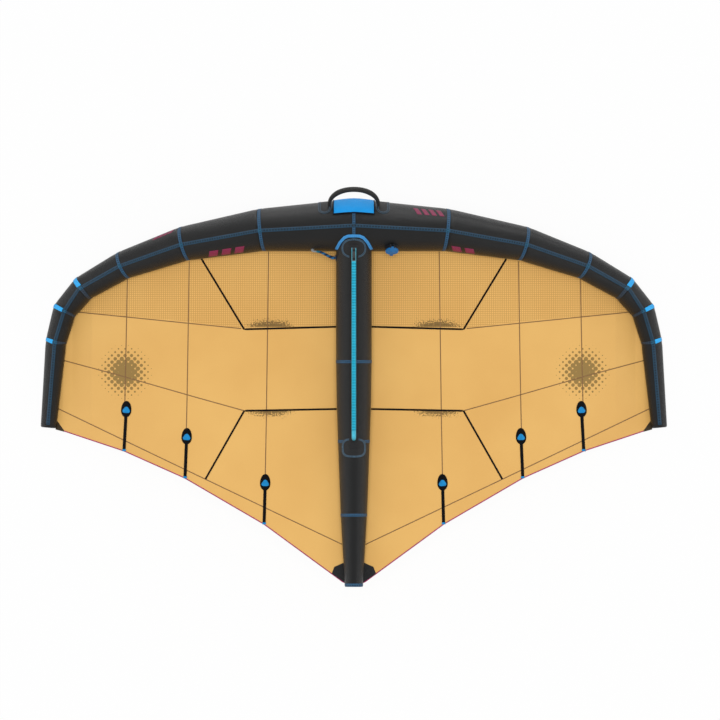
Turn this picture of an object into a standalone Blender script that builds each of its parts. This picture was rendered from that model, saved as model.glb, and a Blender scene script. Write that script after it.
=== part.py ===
"""Inflatable wingfoil wing, parked upside down: strut and boom up, leading edge towards +Y."""

from math import cos, pi, radians, sin

import bmesh
import bpy
from mathutils import Matrix, Vector

# All lengths are in metres. A name that ends in SHARE or SHARES is a plain ratio.

# Clearances
GAP = 0.0003
SEAM_GAP = 0.0005
TRIM_GAP = 0.0008
OVERRUN = 0.02

# Cloth and bladder walls
CASING_WALL = 0.0004
BLADDER_WALL = 0.0002
BLADDER_SLACK = 0.0006
CANOPY_CLOTH = 0.00025

# Leading edge tube: right half, joints from the centre line to the tip
SIDES = 24
LE_DIAMETER = 0.256
LE_REACH = 1.499
LE_SWEEP = 0.985
TIP_DROP = 0.315
LE_OUT_SHARES = (0.0, 0.303, 0.555, 0.753, 0.884, 0.947, 0.975, 1.0)
LE_BACK_SHARES = (-0.008, 0.016, 0.084, 0.190, 0.304, 0.417, 0.574, 1.0)
LE_DROP_SHARES = (0.0, 0.095, 0.302, 0.571, 0.825, 1.0)
LE_GIRTH_SHARES = (1.0, 0.8124, 0.6600, 0.5425, 0.4884, 0.4379, 0.3754, 0.2699)
TIP_NOSE = 0.010
TIP_NOSE_SHARE = 0.72

# Canopy: its front edge follows one line of the tube, low on the tube's rear
ATTACH_CORNER = 14
CHORD = 1.755
TE_INSET = 0.036
TE_REACH = LE_REACH - TE_INSET
TAIL_RISE = 0.36
TIP_RISE = 0.020
CAMBER = 0.050
CAMBER_PEAK_SHARE = 27 / 4
TE_OUT_SHARES = (0.0, 0.030, 0.300, 0.565, 0.770, 0.971, 1.0)
TE_BACK_SHARES = (1.0, 0.9937, 0.829, 0.7009, 0.6254, 0.5704, 0.5640)
COLUMN_JOINTS = (0.0, 0.92, 1.938, 2.946, 4.0, 5.0, 6.0, 6.94)
COLUMN_TE_SHARES = (0.0, 0.300, 0.565, 0.770, 0.880, 0.940, 0.978, 1.0)
COLUMN_LINES = (
    (0.0, 0.33, 0.66, 0.92),
    (0.92, 1.0, 1.47, 1.938),
    (1.938, 2.0, 2.47, 2.946),
    (2.946, 3.0, 3.5, 4.0, 4.7, 5.0, 5.5, 6.0, 6.5, 6.94),
)
FRONT_END_JOINT = 4.7
FRONT_SEAM_OUT_SHARES = (0.0, 0.37, 0.90)
FRONT_SEAM_BACK_SHARES = (0.279, 0.284, 0.2376)
FRONT_SEAM_END = 0.012
FRONT_ROWS = 3

# Trailing edge hem and battens
HEM_RADIUS = 0.002
HEM_SET_SHARE = 0.8
BATTEN_LENGTH = 0.246
BATTEN_STEM = 0.013
BATTEN_HEAD_LENGTH = 0.081
BATTEN_HEAD_WIDTH = 0.050
BATTEN_THICKNESS = 0.002

# Centre strut
STRUT_DIAMETER = 0.174
STRUT_ROOT_RISE = 0.024
STRUT_TAIL = 0.009
STRUT_START = 0.020
STRUT_BACK_SHARES = (0.0, 0.374, 0.481, 0.594, 0.799, 0.940, 1.01)
STRUT_GIRTH_SHARES = (1.0, 1.0, 0.969, 0.893, 0.742, 0.581, 0.489)
STRUT_SEAM_SHARES = (0.376, 0.598, 0.803)
STRUT_ROW_SHARES = (0.376, 0.484, 0.598, 0.700, 0.803, 0.900, 1.0)
STRUT_NOSE_SHARE = 0.90
STRUT_BLADDER_FRONT = 0.130
STRUT_BLADDER_TAIL = 0.020
STRUT_SEAT = 0.0008

# Boom
BOOM_RISE = 0.166
BOOM_DIAMETER = 0.0225
BOOM_PIN_BACK = 0.115
BOOM_GRIP_FRONT = 0.173
BOOM_GRIP_REAR = 0.995
BOOM_FOOT_BACK = 1.033
BOOM_BEND = 0.034
FORK_SLOT = 0.0136
TONGUE_WIDTH = 0.013
TONGUE_DEPTH = 0.025
TONGUE_TAIL = 0.028
FORK_THROAT = 0.048
PIN_DIAMETER = 0.008
PIN_LENGTH = 0.026
BRACKET_WIDTH = 0.044
BRACKET_LENGTH = 0.074
BRACKET_HEIGHT = 0.008
SADDLE_WIDTH = 0.046
SADDLE_LENGTH = 0.070
SADDLE_HEIGHT = 0.007
CHEEK_WIDTH = 0.024
CHEEK_LENGTH = 0.034
CHEEK_HEIGHT = 0.024
BLADE_WIDTH = 0.010
BLADE_LENGTH = 0.022

# Front handle and its pad
HANDLE_REACH = 0.1175
HANDLE_STAND = 0.1001
HANDLE_CROWN_RADIUS = 0.012
HANDLE_END_RADIUS = 0.007
HANDLE_CORNER_SHARE = 2.1
HANDLE_ANGLE = radians(37.5)
ANCHOR_ANGLE = radians(45)
ANCHOR_REACH = 0.1455
ANCHOR_RADIUS = LE_DIAMETER * 0.129
ANCHOR_THICKNESS = 0.002
PAD_REACH = 0.0985
PAD_EDGE = 0.003
PAD_CROWN = 0.005
PAD_ANGLES = tuple(radians(a) for a in (-7.5, 7.5, 22.5, 37.5, 52.5, 62))
PAD_ROW_SHARES = (0.0, 0.75, 1.0, 1.0, 0.6, 0.0)
PAD_COLUMN_SHARES = (-1.0, -0.85, -0.45, 0.0, 0.45, 0.85, 1.0)

# Inflation valve, on the tube's upper rear, right of the strut
VALVE_OUT = 0.187
VALVE_ANGLE = radians(180 - 30)
VALVE_FLANGE_RADIUS = 0.035
VALVE_FLANGE = 0.004
VALVE_COLLAR_RADIUS = 0.024
VALVE_COLLAR = 0.010
VALVE_NECK_RADIUS = 0.020
VALVE_NECK = 0.014
VALVE_BORE_RADIUS = 0.015
INSERT_RIM_RADIUS = 0.022
INSERT_RIM = 0.004
INSERT_DEPTH = 0.010
INSERT_RECESS_RADIUS = 0.012
INSERT_RECESS = 0.006
CAP_RADIUS = 0.032
CAP_THICKNESS = 0.005
CAP_TAB = 0.012
CAP_TAB_WIDTH = 0.016
CAP_BARREL_RADIUS = 0.003
CAP_BARREL_OUT = 0.037
CAP_ARM_WIDTH = 0.012
EAR_WIDTH = 0.004
EAR_DEPTH = 0.008

# Inflation hose between the leading edge and the strut, left of the strut
HOSE_OUT = 0.205
HOSE_ANGLE = radians(160)
HOSE_RADIUS = 0.0065
ELBOW_RADIUS = 0.008
ELBOW_BEND = 0.014
ELBOW_RUN = 0.010
ELBOW_NECK = 0.012
ELBOW_FLANGE_RADIUS = 0.016
PORT_BACK = 0.152
PORT_FLANGE_RADIUS = 0.015
PORT_FLANGE = 0.003
PORT_NECK_RADIUS = 0.007
PORT_NECK = 0.012
PORT_NOSE = 0.012

# Colours, as linear RGB
CHARCOAL = (0.033, 0.033, 0.036)
BLACK = (0.012, 0.012, 0.013)
AMBER = (0.81, 0.46, 0.13)
MAGENTA = (0.64, 0.04, 0.24)
TURQUOISE = (0.03, 0.48, 0.69)
SKY_BLUE = (0.03, 0.32, 0.80)
STEEL = (0.45, 0.45, 0.46)
PALE_GREY = (0.62, 0.63, 0.64)
CLEAR_BLUE = (0.35, 0.50, 0.62)


def clear_scene():
    for obj in list(bpy.data.objects):
        bpy.data.objects.remove(obj, do_unlink=True)


def collection(name):
    made = bpy.data.collections.new(name)
    bpy.context.scene.collection.children.link(made)
    return made


def finish_of(name, colour, roughness, metallic=0.0):
    material = bpy.data.materials.new(name)
    material.use_nodes = True
    shader = material.node_tree.nodes["Principled BSDF"]
    shader.inputs["Base Color"].default_value = (*colour, 1.0)
    shader.inputs["Roughness"].default_value = roughness
    shader.inputs["Metallic"].default_value = metallic
    return material


def lerp(a, b, share):
    return a + (b - a) * share


def read_table(places, values, place):
    """Value at a place, straight between the table's rows."""
    for i in range(len(places) - 2):
        if place <= places[i + 1]:
            break
    else:
        i = len(places) - 2
    return lerp(values[i], values[i + 1], (place - places[i]) / (places[i + 1] - places[i]))


class Wing:
    """Keeps the collections, the root empty and the parents of the moving groups."""

    def __init__(self):
        self.parts = collection("Wingfoil_Wing")
        self.helpers = collection("Cutters")
        self.root = bpy.data.objects.new("wing_root", None)
        self.parts.objects.link(self.root)

    def pivot(self, name, place):
        empty = bpy.data.objects.new(name, None)
        empty.location = place
        empty.parent = self.root
        self.parts.objects.link(empty)
        return empty

    def add(self, name, mesh, colour=None, roughness=0.6, metallic=0.0, pivot=None):
        obj = bpy.data.objects.new(name, mesh)
        if colour is None:
            obj.hide_render = True
            obj.display_type = "WIRE"
            self.helpers.objects.link(obj)
        else:
            mesh.materials.append(finish_of(name, colour, roughness, metallic))
            self.parts.objects.link(obj)
        obj.parent = pivot or self.root
        if pivot:
            obj.matrix_parent_inverse = Matrix.Translation(-pivot.location)
        return obj


def mesh_from(bm, name, smooth=True):
    bmesh.ops.remove_doubles(bm, verts=bm.verts, dist=GAP / 100)
    mesh = bpy.data.meshes.new(name)
    bm.to_mesh(mesh)
    bm.free()
    if smooth:
        mesh.shade_smooth()
        mesh.set_sharp_from_angle(angle=radians(35))
    return mesh


def add_bulged_quad(bm, corners, bulge):
    """Two triangles that meet on the diagonal that stands out more, as stretched cloth would."""
    a, b, c, d = corners
    if bulge((a.co + c.co) / 2) < bulge((b.co + d.co) / 2):
        a, b, c, d = b, c, d, a
    bm.faces.new((a, b, c))
    bm.faces.new((a, c, d))


def loft(name, rings, round_ring=True, cap_start=False, cap_end=False, flip=False):
    """Skin through rings that have the same number of points."""
    bm = bmesh.new()
    rows = [[bm.verts.new(point) for point in ring] for ring in rings]
    for near, far in zip(rows, rows[1:]):
        count = len(near)
        middle = sum((v.co for v in near + far), Vector()) / (2 * count)
        for i in range(count if round_ring else count - 1):
            j = (i + 1) % count
            corners = (near[i], near[j], far[j], far[i])
            if round_ring:
                add_bulged_quad(bm, corners, lambda point: (point - middle).length)
            else:
                add_bulged_quad(bm, corners, lambda point: point.z)
    if cap_start:
        bm.faces.new(rows[0][::-1])
    if cap_end:
        bm.faces.new(rows[-1])
    if round_ring:
        bmesh.ops.recalc_face_normals(bm, faces=bm.faces)
    elif flip:
        bmesh.ops.reverse_faces(bm, faces=bm.faces)
    return mesh_from(bm, name)


def add_wall(obj, thickness, offset=-1.0):
    wall = obj.modifiers.new("Wall", "SOLIDIFY")
    wall.thickness = thickness
    wall.offset = offset
    wall.use_even_offset = True


def cut(obj, cutter, operation="DIFFERENCE"):
    boolean = obj.modifiers.new(cutter.name, "BOOLEAN")
    boolean.operation = operation
    boolean.object = cutter
    boolean.solver = "EXACT"


def cylinder(name, radius, start, end, sides=SIDES):
    """Round bar between two points."""
    start, end = Vector(start), Vector(end)
    bm = bmesh.new()
    bmesh.ops.create_cone(
        bm,
        cap_ends=True,
        segments=sides,
        radius1=radius,
        radius2=radius,
        depth=(end - start).length,
    )
    turn = (end - start).to_track_quat("Z", "Y").to_matrix().to_4x4()
    bmesh.ops.transform(bm, matrix=Matrix.Translation((start + end) / 2) @ turn, verts=bm.verts)
    return mesh_from(bm, name)


def block(name, size, centre):
    bm = bmesh.new()
    bmesh.ops.create_cube(bm, size=1.0)
    bmesh.ops.transform(bm, matrix=Matrix.Translation(centre) @ Matrix.Diagonal((*size, 1.0)), verts=bm.verts)
    return mesh_from(bm, name, smooth=False)


def swept(name, points, radius, shares=None, resolution=2):
    """Round tube along points, as a mesh with welded caps."""
    curve = bpy.data.curves.new(name, "CURVE")
    curve.dimensions = "3D"
    curve.bevel_depth = radius
    curve.bevel_resolution = resolution
    curve.use_fill_caps = True
    spline = curve.splines.new("POLY")
    spline.points.add(len(points) - 1)
    for i, point in enumerate(points):
        spline.points[i].co = (*point, 1.0)
        spline.points[i].radius = shares[i] if shares else 1.0
    guide = bpy.data.objects.new(name + "_guide", curve)
    bpy.context.scene.collection.objects.link(guide)
    bpy.context.view_layer.update()
    graph = bpy.context.evaluated_depsgraph_get()
    raw = bpy.data.meshes.new_from_object(guide.evaluated_get(graph))
    bpy.data.objects.remove(guide, do_unlink=True)
    bm = bmesh.new()
    bm.from_mesh(raw)
    bmesh.ops.remove_doubles(bm, verts=bm.verts, dist=GAP / 10)
    bmesh.ops.recalc_face_normals(bm, faces=bm.faces)
    return mesh_from(bm, name)


def turned(wing, name, profile, frame, colour, roughness=0.5, pivot=None, steps=32, hollow=True):
    """Profile of (radius, height) points turned about the frame's Z axis, top to bottom."""
    mesh = bpy.data.meshes.new(name)
    points = [(radius, 0.0, height) for radius, height in profile]
    edges = [(i, i + 1) for i in range(len(points) - 1)]
    if hollow:
        edges.append((len(points) - 1, 0))
    mesh.from_pydata(points, edges, [])
    obj = wing.add(name, mesh, colour, roughness, pivot=pivot)
    obj.matrix_basis = frame
    screw = obj.modifiers.new("Turn", "SCREW")
    screw.steps = steps
    screw.render_steps = steps
    screw.use_merge_vertices = True
    screw.merge_threshold = GAP / 10
    return obj


# Leading edge geometry


def facet_drop(radius):
    """Distance from a round tube's axis to the middle of one flat side."""
    return radius * cos(pi / SIDES)


def le_radius(joint):
    index = min(int(joint), len(LE_GIRTH_SHARES) - 2)
    share = lerp(LE_GIRTH_SHARES[index], LE_GIRTH_SHARES[index + 1], joint - index)
    return LE_DIAMETER / 2 * share


def ground_rise(index):
    return facet_drop(LE_DIAMETER / 2 * LE_GIRTH_SHARES[index])


LE_RISE = ground_rise(5) + TIP_DROP


def le_joint_axis(index):
    """Axis point of a joint of the right half."""
    rise = ground_rise(index)
    if index < len(LE_DROP_SHARES) - 1:
        rise = LE_RISE - TIP_DROP * LE_DROP_SHARES[index]
    return Vector((LE_REACH * LE_OUT_SHARES[index], -LE_SWEEP * LE_BACK_SHARES[index], rise))


def le_joint_frame(index):
    """Outward (front) and upward directions of the mitre plane at a joint."""
    last = len(LE_OUT_SHARES) - 1
    if index == 0:
        along = Vector((1, 0, 0))
    else:
        along = (le_joint_axis(index) - le_joint_axis(index - 1)).normalized()
        if index < last:
            along += (le_joint_axis(index + 1) - le_joint_axis(index)).normalized()
        if index >= len(LE_DROP_SHARES) - 1:
            along.z = 0
    along.normalize()
    front = Vector((0, 0, 1)).cross(along).normalized()
    return front, along.cross(front)


def le_point(joint, angle, radius_change=0.0, corner=True):
    """Point on the tube at a place between joints. Angle 0 faces forward and 90 degrees faces up."""
    index = min(int(joint), len(LE_OUT_SHARES) - 2)
    ends = []
    for k in (index, index + 1):
        front, up = le_joint_frame(k)
        radius = LE_DIAMETER / 2 * LE_GIRTH_SHARES[k] + radius_change
        if not corner:
            step = 2 * pi / SIDES
            radius *= cos(pi / SIDES) / cos((angle - pi / SIDES) % step - step / 2)
        ends.append(le_joint_axis(k) + radius * (front * cos(angle) + up * sin(angle)))
    return lerp(ends[0], ends[1], joint - index)


def corner_angle(i):
    return pi / SIDES + 2 * pi * i / SIDES


def le_ring(joint, radius_change=0.0):
    return [le_point(joint, corner_angle(i), radius_change) for i in range(SIDES)]


def mirrored(ring):
    return [Vector((-p.x, p.y, p.z)) for p in ring]


def le_joint_at(out):
    """Joint number at a distance out from the centre line, within the first panel."""
    return out / (LE_REACH * LE_OUT_SHARES[1])


def le_local_frame(out, angle, side=1):
    """Frame on the tube's skin: Z along the normal, X to the right, origin one gap off the skin."""
    joint = le_joint_at(out)
    step = le_joint_at(OVERRUN)
    foot = le_point(joint, angle, GAP)
    along = (le_point(joint + step, angle) - le_point(joint - step, angle)).normalized()
    around = (le_point(joint, angle + radians(1)) - le_point(joint, angle - radians(1))).normalized()
    normal = around.cross(along).normalized()
    if side < 0:
        foot, normal, along = [Vector((-v.x, v.y, v.z)) for v in (foot, normal, along)]
        along = -along
    frame = Matrix((along, normal.cross(along), normal)).transposed().to_4x4()
    return Matrix.Translation(foot) @ frame


def build_leading_edge(wing):
    panels = {}
    count = len(LE_OUT_SHARES) - 1
    for side, mirror in (("right", False), ("left", True)):
        for k in range(count):
            inset = SEAM_GAP / 2 / (le_joint_axis(k + 1) - le_joint_axis(k)).length
            rings = [le_ring(k + inset), le_ring(k + 1 - inset)]
            last = k == count - 1
            if last:
                rings[-1] = le_ring(k + 1)
                axis = le_joint_axis(k + 1)
                along = (axis - le_joint_axis(k)).normalized()
                nose = [axis + (p - axis) * TIP_NOSE_SHARE + along * TIP_NOSE for p in rings[-1]]
                rings.append(nose)
            if mirror:
                rings = [mirrored(ring) for ring in rings]
            name = f"le_panel_{side}_{k + 1}" if not last else f"le_tip_{side}"
            obj = wing.add(name, loft(name, rings, cap_end=last), CHARCOAL, 0.75)
            add_wall(obj, CASING_WALL)
            panels[name] = obj
    inner = -CASING_WALL - BLADDER_SLACK
    half = [le_ring(k, inner) for k in range(1, count)]
    half.append(le_ring(count - SEAM_GAP / LE_SWEEP, inner))
    rings = [mirrored(ring) for ring in reversed(half)] + [le_ring(0, inner)] + half
    bladder = wing.add("le_bladder", loft("le_bladder", rings, cap_start=True, cap_end=True), CLEAR_BLUE, 0.3)
    add_wall(bladder, BLADDER_WALL)
    return panels, bladder


# Canopy geometry


def attach_point(joint):
    return le_point(joint, corner_angle(ATTACH_CORNER), GAP)


def te_point(joint):
    out = TE_REACH * read_table(COLUMN_JOINTS, COLUMN_TE_SHARES, joint)
    back = CHORD * read_table(TE_OUT_SHARES, TE_BACK_SHARES, out / TE_REACH)
    rise = TAIL_RISE - (TAIL_RISE - TIP_RISE) * (out / TE_REACH) ** 2
    return Vector((out, -back, rise))


def canopy_point(joint, share):
    """Point at a share of the chord from the leading edge to the trailing edge."""
    front, rear = attach_point(joint), te_point(joint)
    point = lerp(front, rear, share)
    depth = CAMBER * (1 - (rear.x / TE_REACH) ** 2)
    point.z -= depth * CAMBER_PEAK_SHARE * share * (1 - share) ** 2
    return point


def front_seam_share(joint):
    """Where the first spanwise seam crosses a chord line."""
    front, rear = attach_point(joint), te_point(joint)
    chord = front.y - rear.y
    back = CHORD * read_table(FRONT_SEAM_OUT_SHARES, FRONT_SEAM_BACK_SHARES, front.x / LE_REACH)
    return max((back + front.y) / chord, FRONT_SEAM_END / chord)


def rear_row_share(joint, row_share):
    if joint > FRONT_END_JOINT:
        return row_share
    start = front_seam_share(joint)
    return start + (1 - start) * row_share


def rear_rows():
    """Rows behind the front seam, as shares, set where the strut has its rings."""
    start = CHORD * FRONT_SEAM_BACK_SHARES[0]
    return [0.0] + [(CHORD * share - start) / (CHORD - start) for share in STRUT_ROW_SHARES]


def canopy_row_shares(joint, rear):
    chord = attach_point(joint).y - te_point(joint).y
    inset = SEAM_GAP / 2 / chord
    if rear:
        shares = [rear_row_share(joint, row) for row in rear_rows()]
        shares[0] += inset if joint <= FRONT_END_JOINT else 0.0
    else:
        end = front_seam_share(joint) - inset
        shares = [end * i / FRONT_ROWS for i in range(FRONT_ROWS + 1)]
    return shares


def seam_inset(joint):
    """Half a seam gap, in joint numbers."""
    index = min(int(joint), len(LE_OUT_SHARES) - 2)
    return SEAM_GAP / 2 / (le_joint_axis(index + 1) - le_joint_axis(index)).length


def build_canopy(wing):
    for column, lines in enumerate(COLUMN_LINES):
        for row, rear in (("front", False), ("rear", True)):
            joints = [j for j in lines if rear or j <= FRONT_END_JOINT]
            grid = []
            for i, joint in enumerate(joints):
                shares = canopy_row_shares(joint, rear)
                place = joint
                if i == 0:
                    place += seam_inset(joint)
                elif i == len(joints) - 1 and column < len(COLUMN_LINES) - 1:
                    place -= seam_inset(joint)
                grid.append([canopy_point(place, share) for share in shares])
            for side, mirror in (("right", False), ("left", True)):
                lines_here = [mirrored(line) for line in grid] if mirror else grid
                name = f"canopy_{row}_{side}_{column + 1}"
                mesh = loft(name, lines_here, round_ring=False, flip=not mirror)
                obj = wing.add(name, mesh, AMBER, 0.55)
                add_wall(obj, CANOPY_CLOTH)


def build_hem(wing):
    joints = []
    for lines in COLUMN_LINES:
        joints += [j for j in lines if j not in joints]
    half = []
    for joint in joints:
        point = te_point(joint)
        half.append(point + Vector((0, -HEM_RADIUS * HEM_SET_SHARE - GAP, -HEM_RADIUS)))
    points = mirrored(half[:0:-1]) + half
    wing.add("trailing_edge_hem", swept("trailing_edge_hem", points, HEM_RADIUS, resolution=1), MAGENTA, 0.5)


def chord_line(joint):
    """The chord line's corners, from the front seam to the trailing edge."""
    return [canopy_point(joint, rear_row_share(joint, row)) for row in rear_rows()]


def point_up_the_chord(joint, distance):
    """Point on the faceted canopy at a distance from the trailing edge."""
    line = chord_line(joint)[::-1]
    for near, far in zip(line, line[1:]):
        run = (far - near).length
        if distance <= run:
            return lerp(near, far, distance / run)
        distance -= run
    return line[-1]


def build_battens(wing):
    head, length = BATTEN_HEAD_LENGTH, BATTEN_LENGTH
    half_head, half_stem = BATTEN_HEAD_WIDTH / 2, BATTEN_STEM / 2
    stem = length - head
    profile = [(stem * i / 4, half_stem) for i in range(5)]
    for turn in (20, 45, 75, 105, 130, 150):
        share = (1 - cos(radians(turn))) / 2
        width = half_head * sin(radians(turn)) * (1 - 0.12 * share)
        profile.append((stem + head * share, max(width, half_stem)))
    profile.append((length, half_head * 0.3))
    for number, lines in enumerate(COLUMN_LINES[:-1], start=1):
        joint, inner, outer = lines[-1], lines[-2], COLUMN_LINES[number][1]
        rows = []
        for distance, width in profile:
            centre = point_up_the_chord(joint, distance)
            inward = (point_up_the_chord(inner, distance) - centre).normalized()
            outward = (point_up_the_chord(outer, distance) - centre).normalized()
            lift = Vector((0, 0, TRIM_GAP))
            if distance == 0:
                lift.y = TRIM_GAP
            rows.append([centre + inward * width + lift, centre + lift, centre + outward * width + lift])
        for side, mirror in (("right", False), ("left", True)):
            here = [mirrored(row) for row in rows] if mirror else rows
            name = f"batten_{side}_{number}"
            obj = wing.add(name, loft(name, here, round_ring=False, flip=mirror), BLACK, 0.5)
            add_wall(obj, BATTEN_THICKNESS, offset=1.0)


# Strut geometry


def drawn_radius(back):
    return STRUT_DIAMETER / 2 * read_table(STRUT_BACK_SHARES, STRUT_GIRTH_SHARES, back / CHORD)


def canopy_rise_at_strut(back):
    """Height of the canopy under the strut."""
    front, rear = attach_point(0), te_point(0)
    share = (back + front.y) / (front.y - rear.y)
    share = min(max(share, 0.0), 1.0)
    return canopy_point(0, share).z


def seated_rise(back):
    """Height of the strut's axis where it lies on the canopy."""
    return canopy_rise_at_strut(back) + facet_drop(drawn_radius(back)) + STRUT_SEAT


def drawn_rise(back):
    """Height of the strut's axis: seated, and lifted a little towards the leading edge."""
    root = -attach_point(0).y
    seam = CHORD * FRONT_SEAM_BACK_SHARES[0]
    lift = LE_RISE + STRUT_ROOT_RISE - seated_rise(root)
    share = max(0.0, (seam - max(back, root)) / (seam - root))
    return seated_rise(back) + lift * share**2


def strut_stations():
    """Places of the rings, measured back from the leading edge's axis."""
    root = -attach_point(0).y
    seam = CHORD * FRONT_SEAM_BACK_SHARES[0]
    front = [lerp(root, seam, i / FRONT_ROWS) for i in range(1, FRONT_ROWS + 1)]
    return [STRUT_START, STRUT_BLADDER_FRONT] + front + [CHORD * share for share in STRUT_ROW_SHARES]


def strut_radius(back):
    stations = strut_stations()
    return read_table(stations, [drawn_radius(b) for b in stations], back)


def strut_rise(back):
    stations = strut_stations()
    return read_table(stations, [drawn_rise(b) for b in stations], back)


def strut_ring(back, radius_change=0.0, share=1.0):
    radius = strut_radius(back) * share + radius_change
    rise = strut_rise(back)
    return [
        Vector((radius * cos(corner_angle(i)), -back, rise + radius * sin(corner_angle(i))))
        for i in range(SIDES)
    ]


def build_strut(wing):
    stations = strut_stations()
    seams = [CHORD * share for share in STRUT_SEAM_SHARES]
    bounds = [stations[0]] + seams + [stations[-1]]
    panels = {}
    for number in range(1, len(bounds)):
        start, end = bounds[number - 1], bounds[number]
        backs = [b for b in stations if start <= b <= end]
        if number > 1:
            backs[0] += SEAM_GAP / 2
        last = number == len(bounds) - 1
        if not last:
            backs[-1] -= SEAM_GAP / 2
        rings = [strut_ring(back) for back in backs]
        if last:
            tail = strut_ring(backs[-1], share=STRUT_NOSE_SHARE)
            rings.append([p - Vector((0, STRUT_TAIL, 0)) for p in tail])
        name = f"strut_panel_{number}"
        obj = wing.add(name, loft(name, rings, cap_end=last), CHARCOAL, 0.75)
        add_wall(obj, CASING_WALL)
        panels[name] = obj
    inner = -CASING_WALL - BLADDER_SLACK
    backs = stations[1:-1] + [stations[-1] - STRUT_BLADDER_TAIL]
    rings = [strut_ring(back, inner) for back in backs]
    mesh = loft("strut_bladder", rings, cap_start=True, cap_end=True)
    bladder = wing.add("strut_bladder", mesh, CLEAR_BLUE, 0.3)
    add_wall(bladder, BLADDER_WALL)
    le_rings = [mirrored(le_ring(1, GAP)), le_ring(0, GAP), le_ring(1, GAP)]
    le_mesh = loft("le_cutter", le_rings, cap_start=True, cap_end=True)
    le_cutter = wing.add("le_cutter", le_mesh)
    cut(panels["strut_panel_1"], le_cutter)
    shape = [strut_ring(back, GAP) for back in stations]
    strut_cutter = wing.add("strut_cutter", loft("strut_cutter", shape, cap_start=True, cap_end=True))
    return panels, bladder, le_cutter, strut_cutter


# Boom


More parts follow.
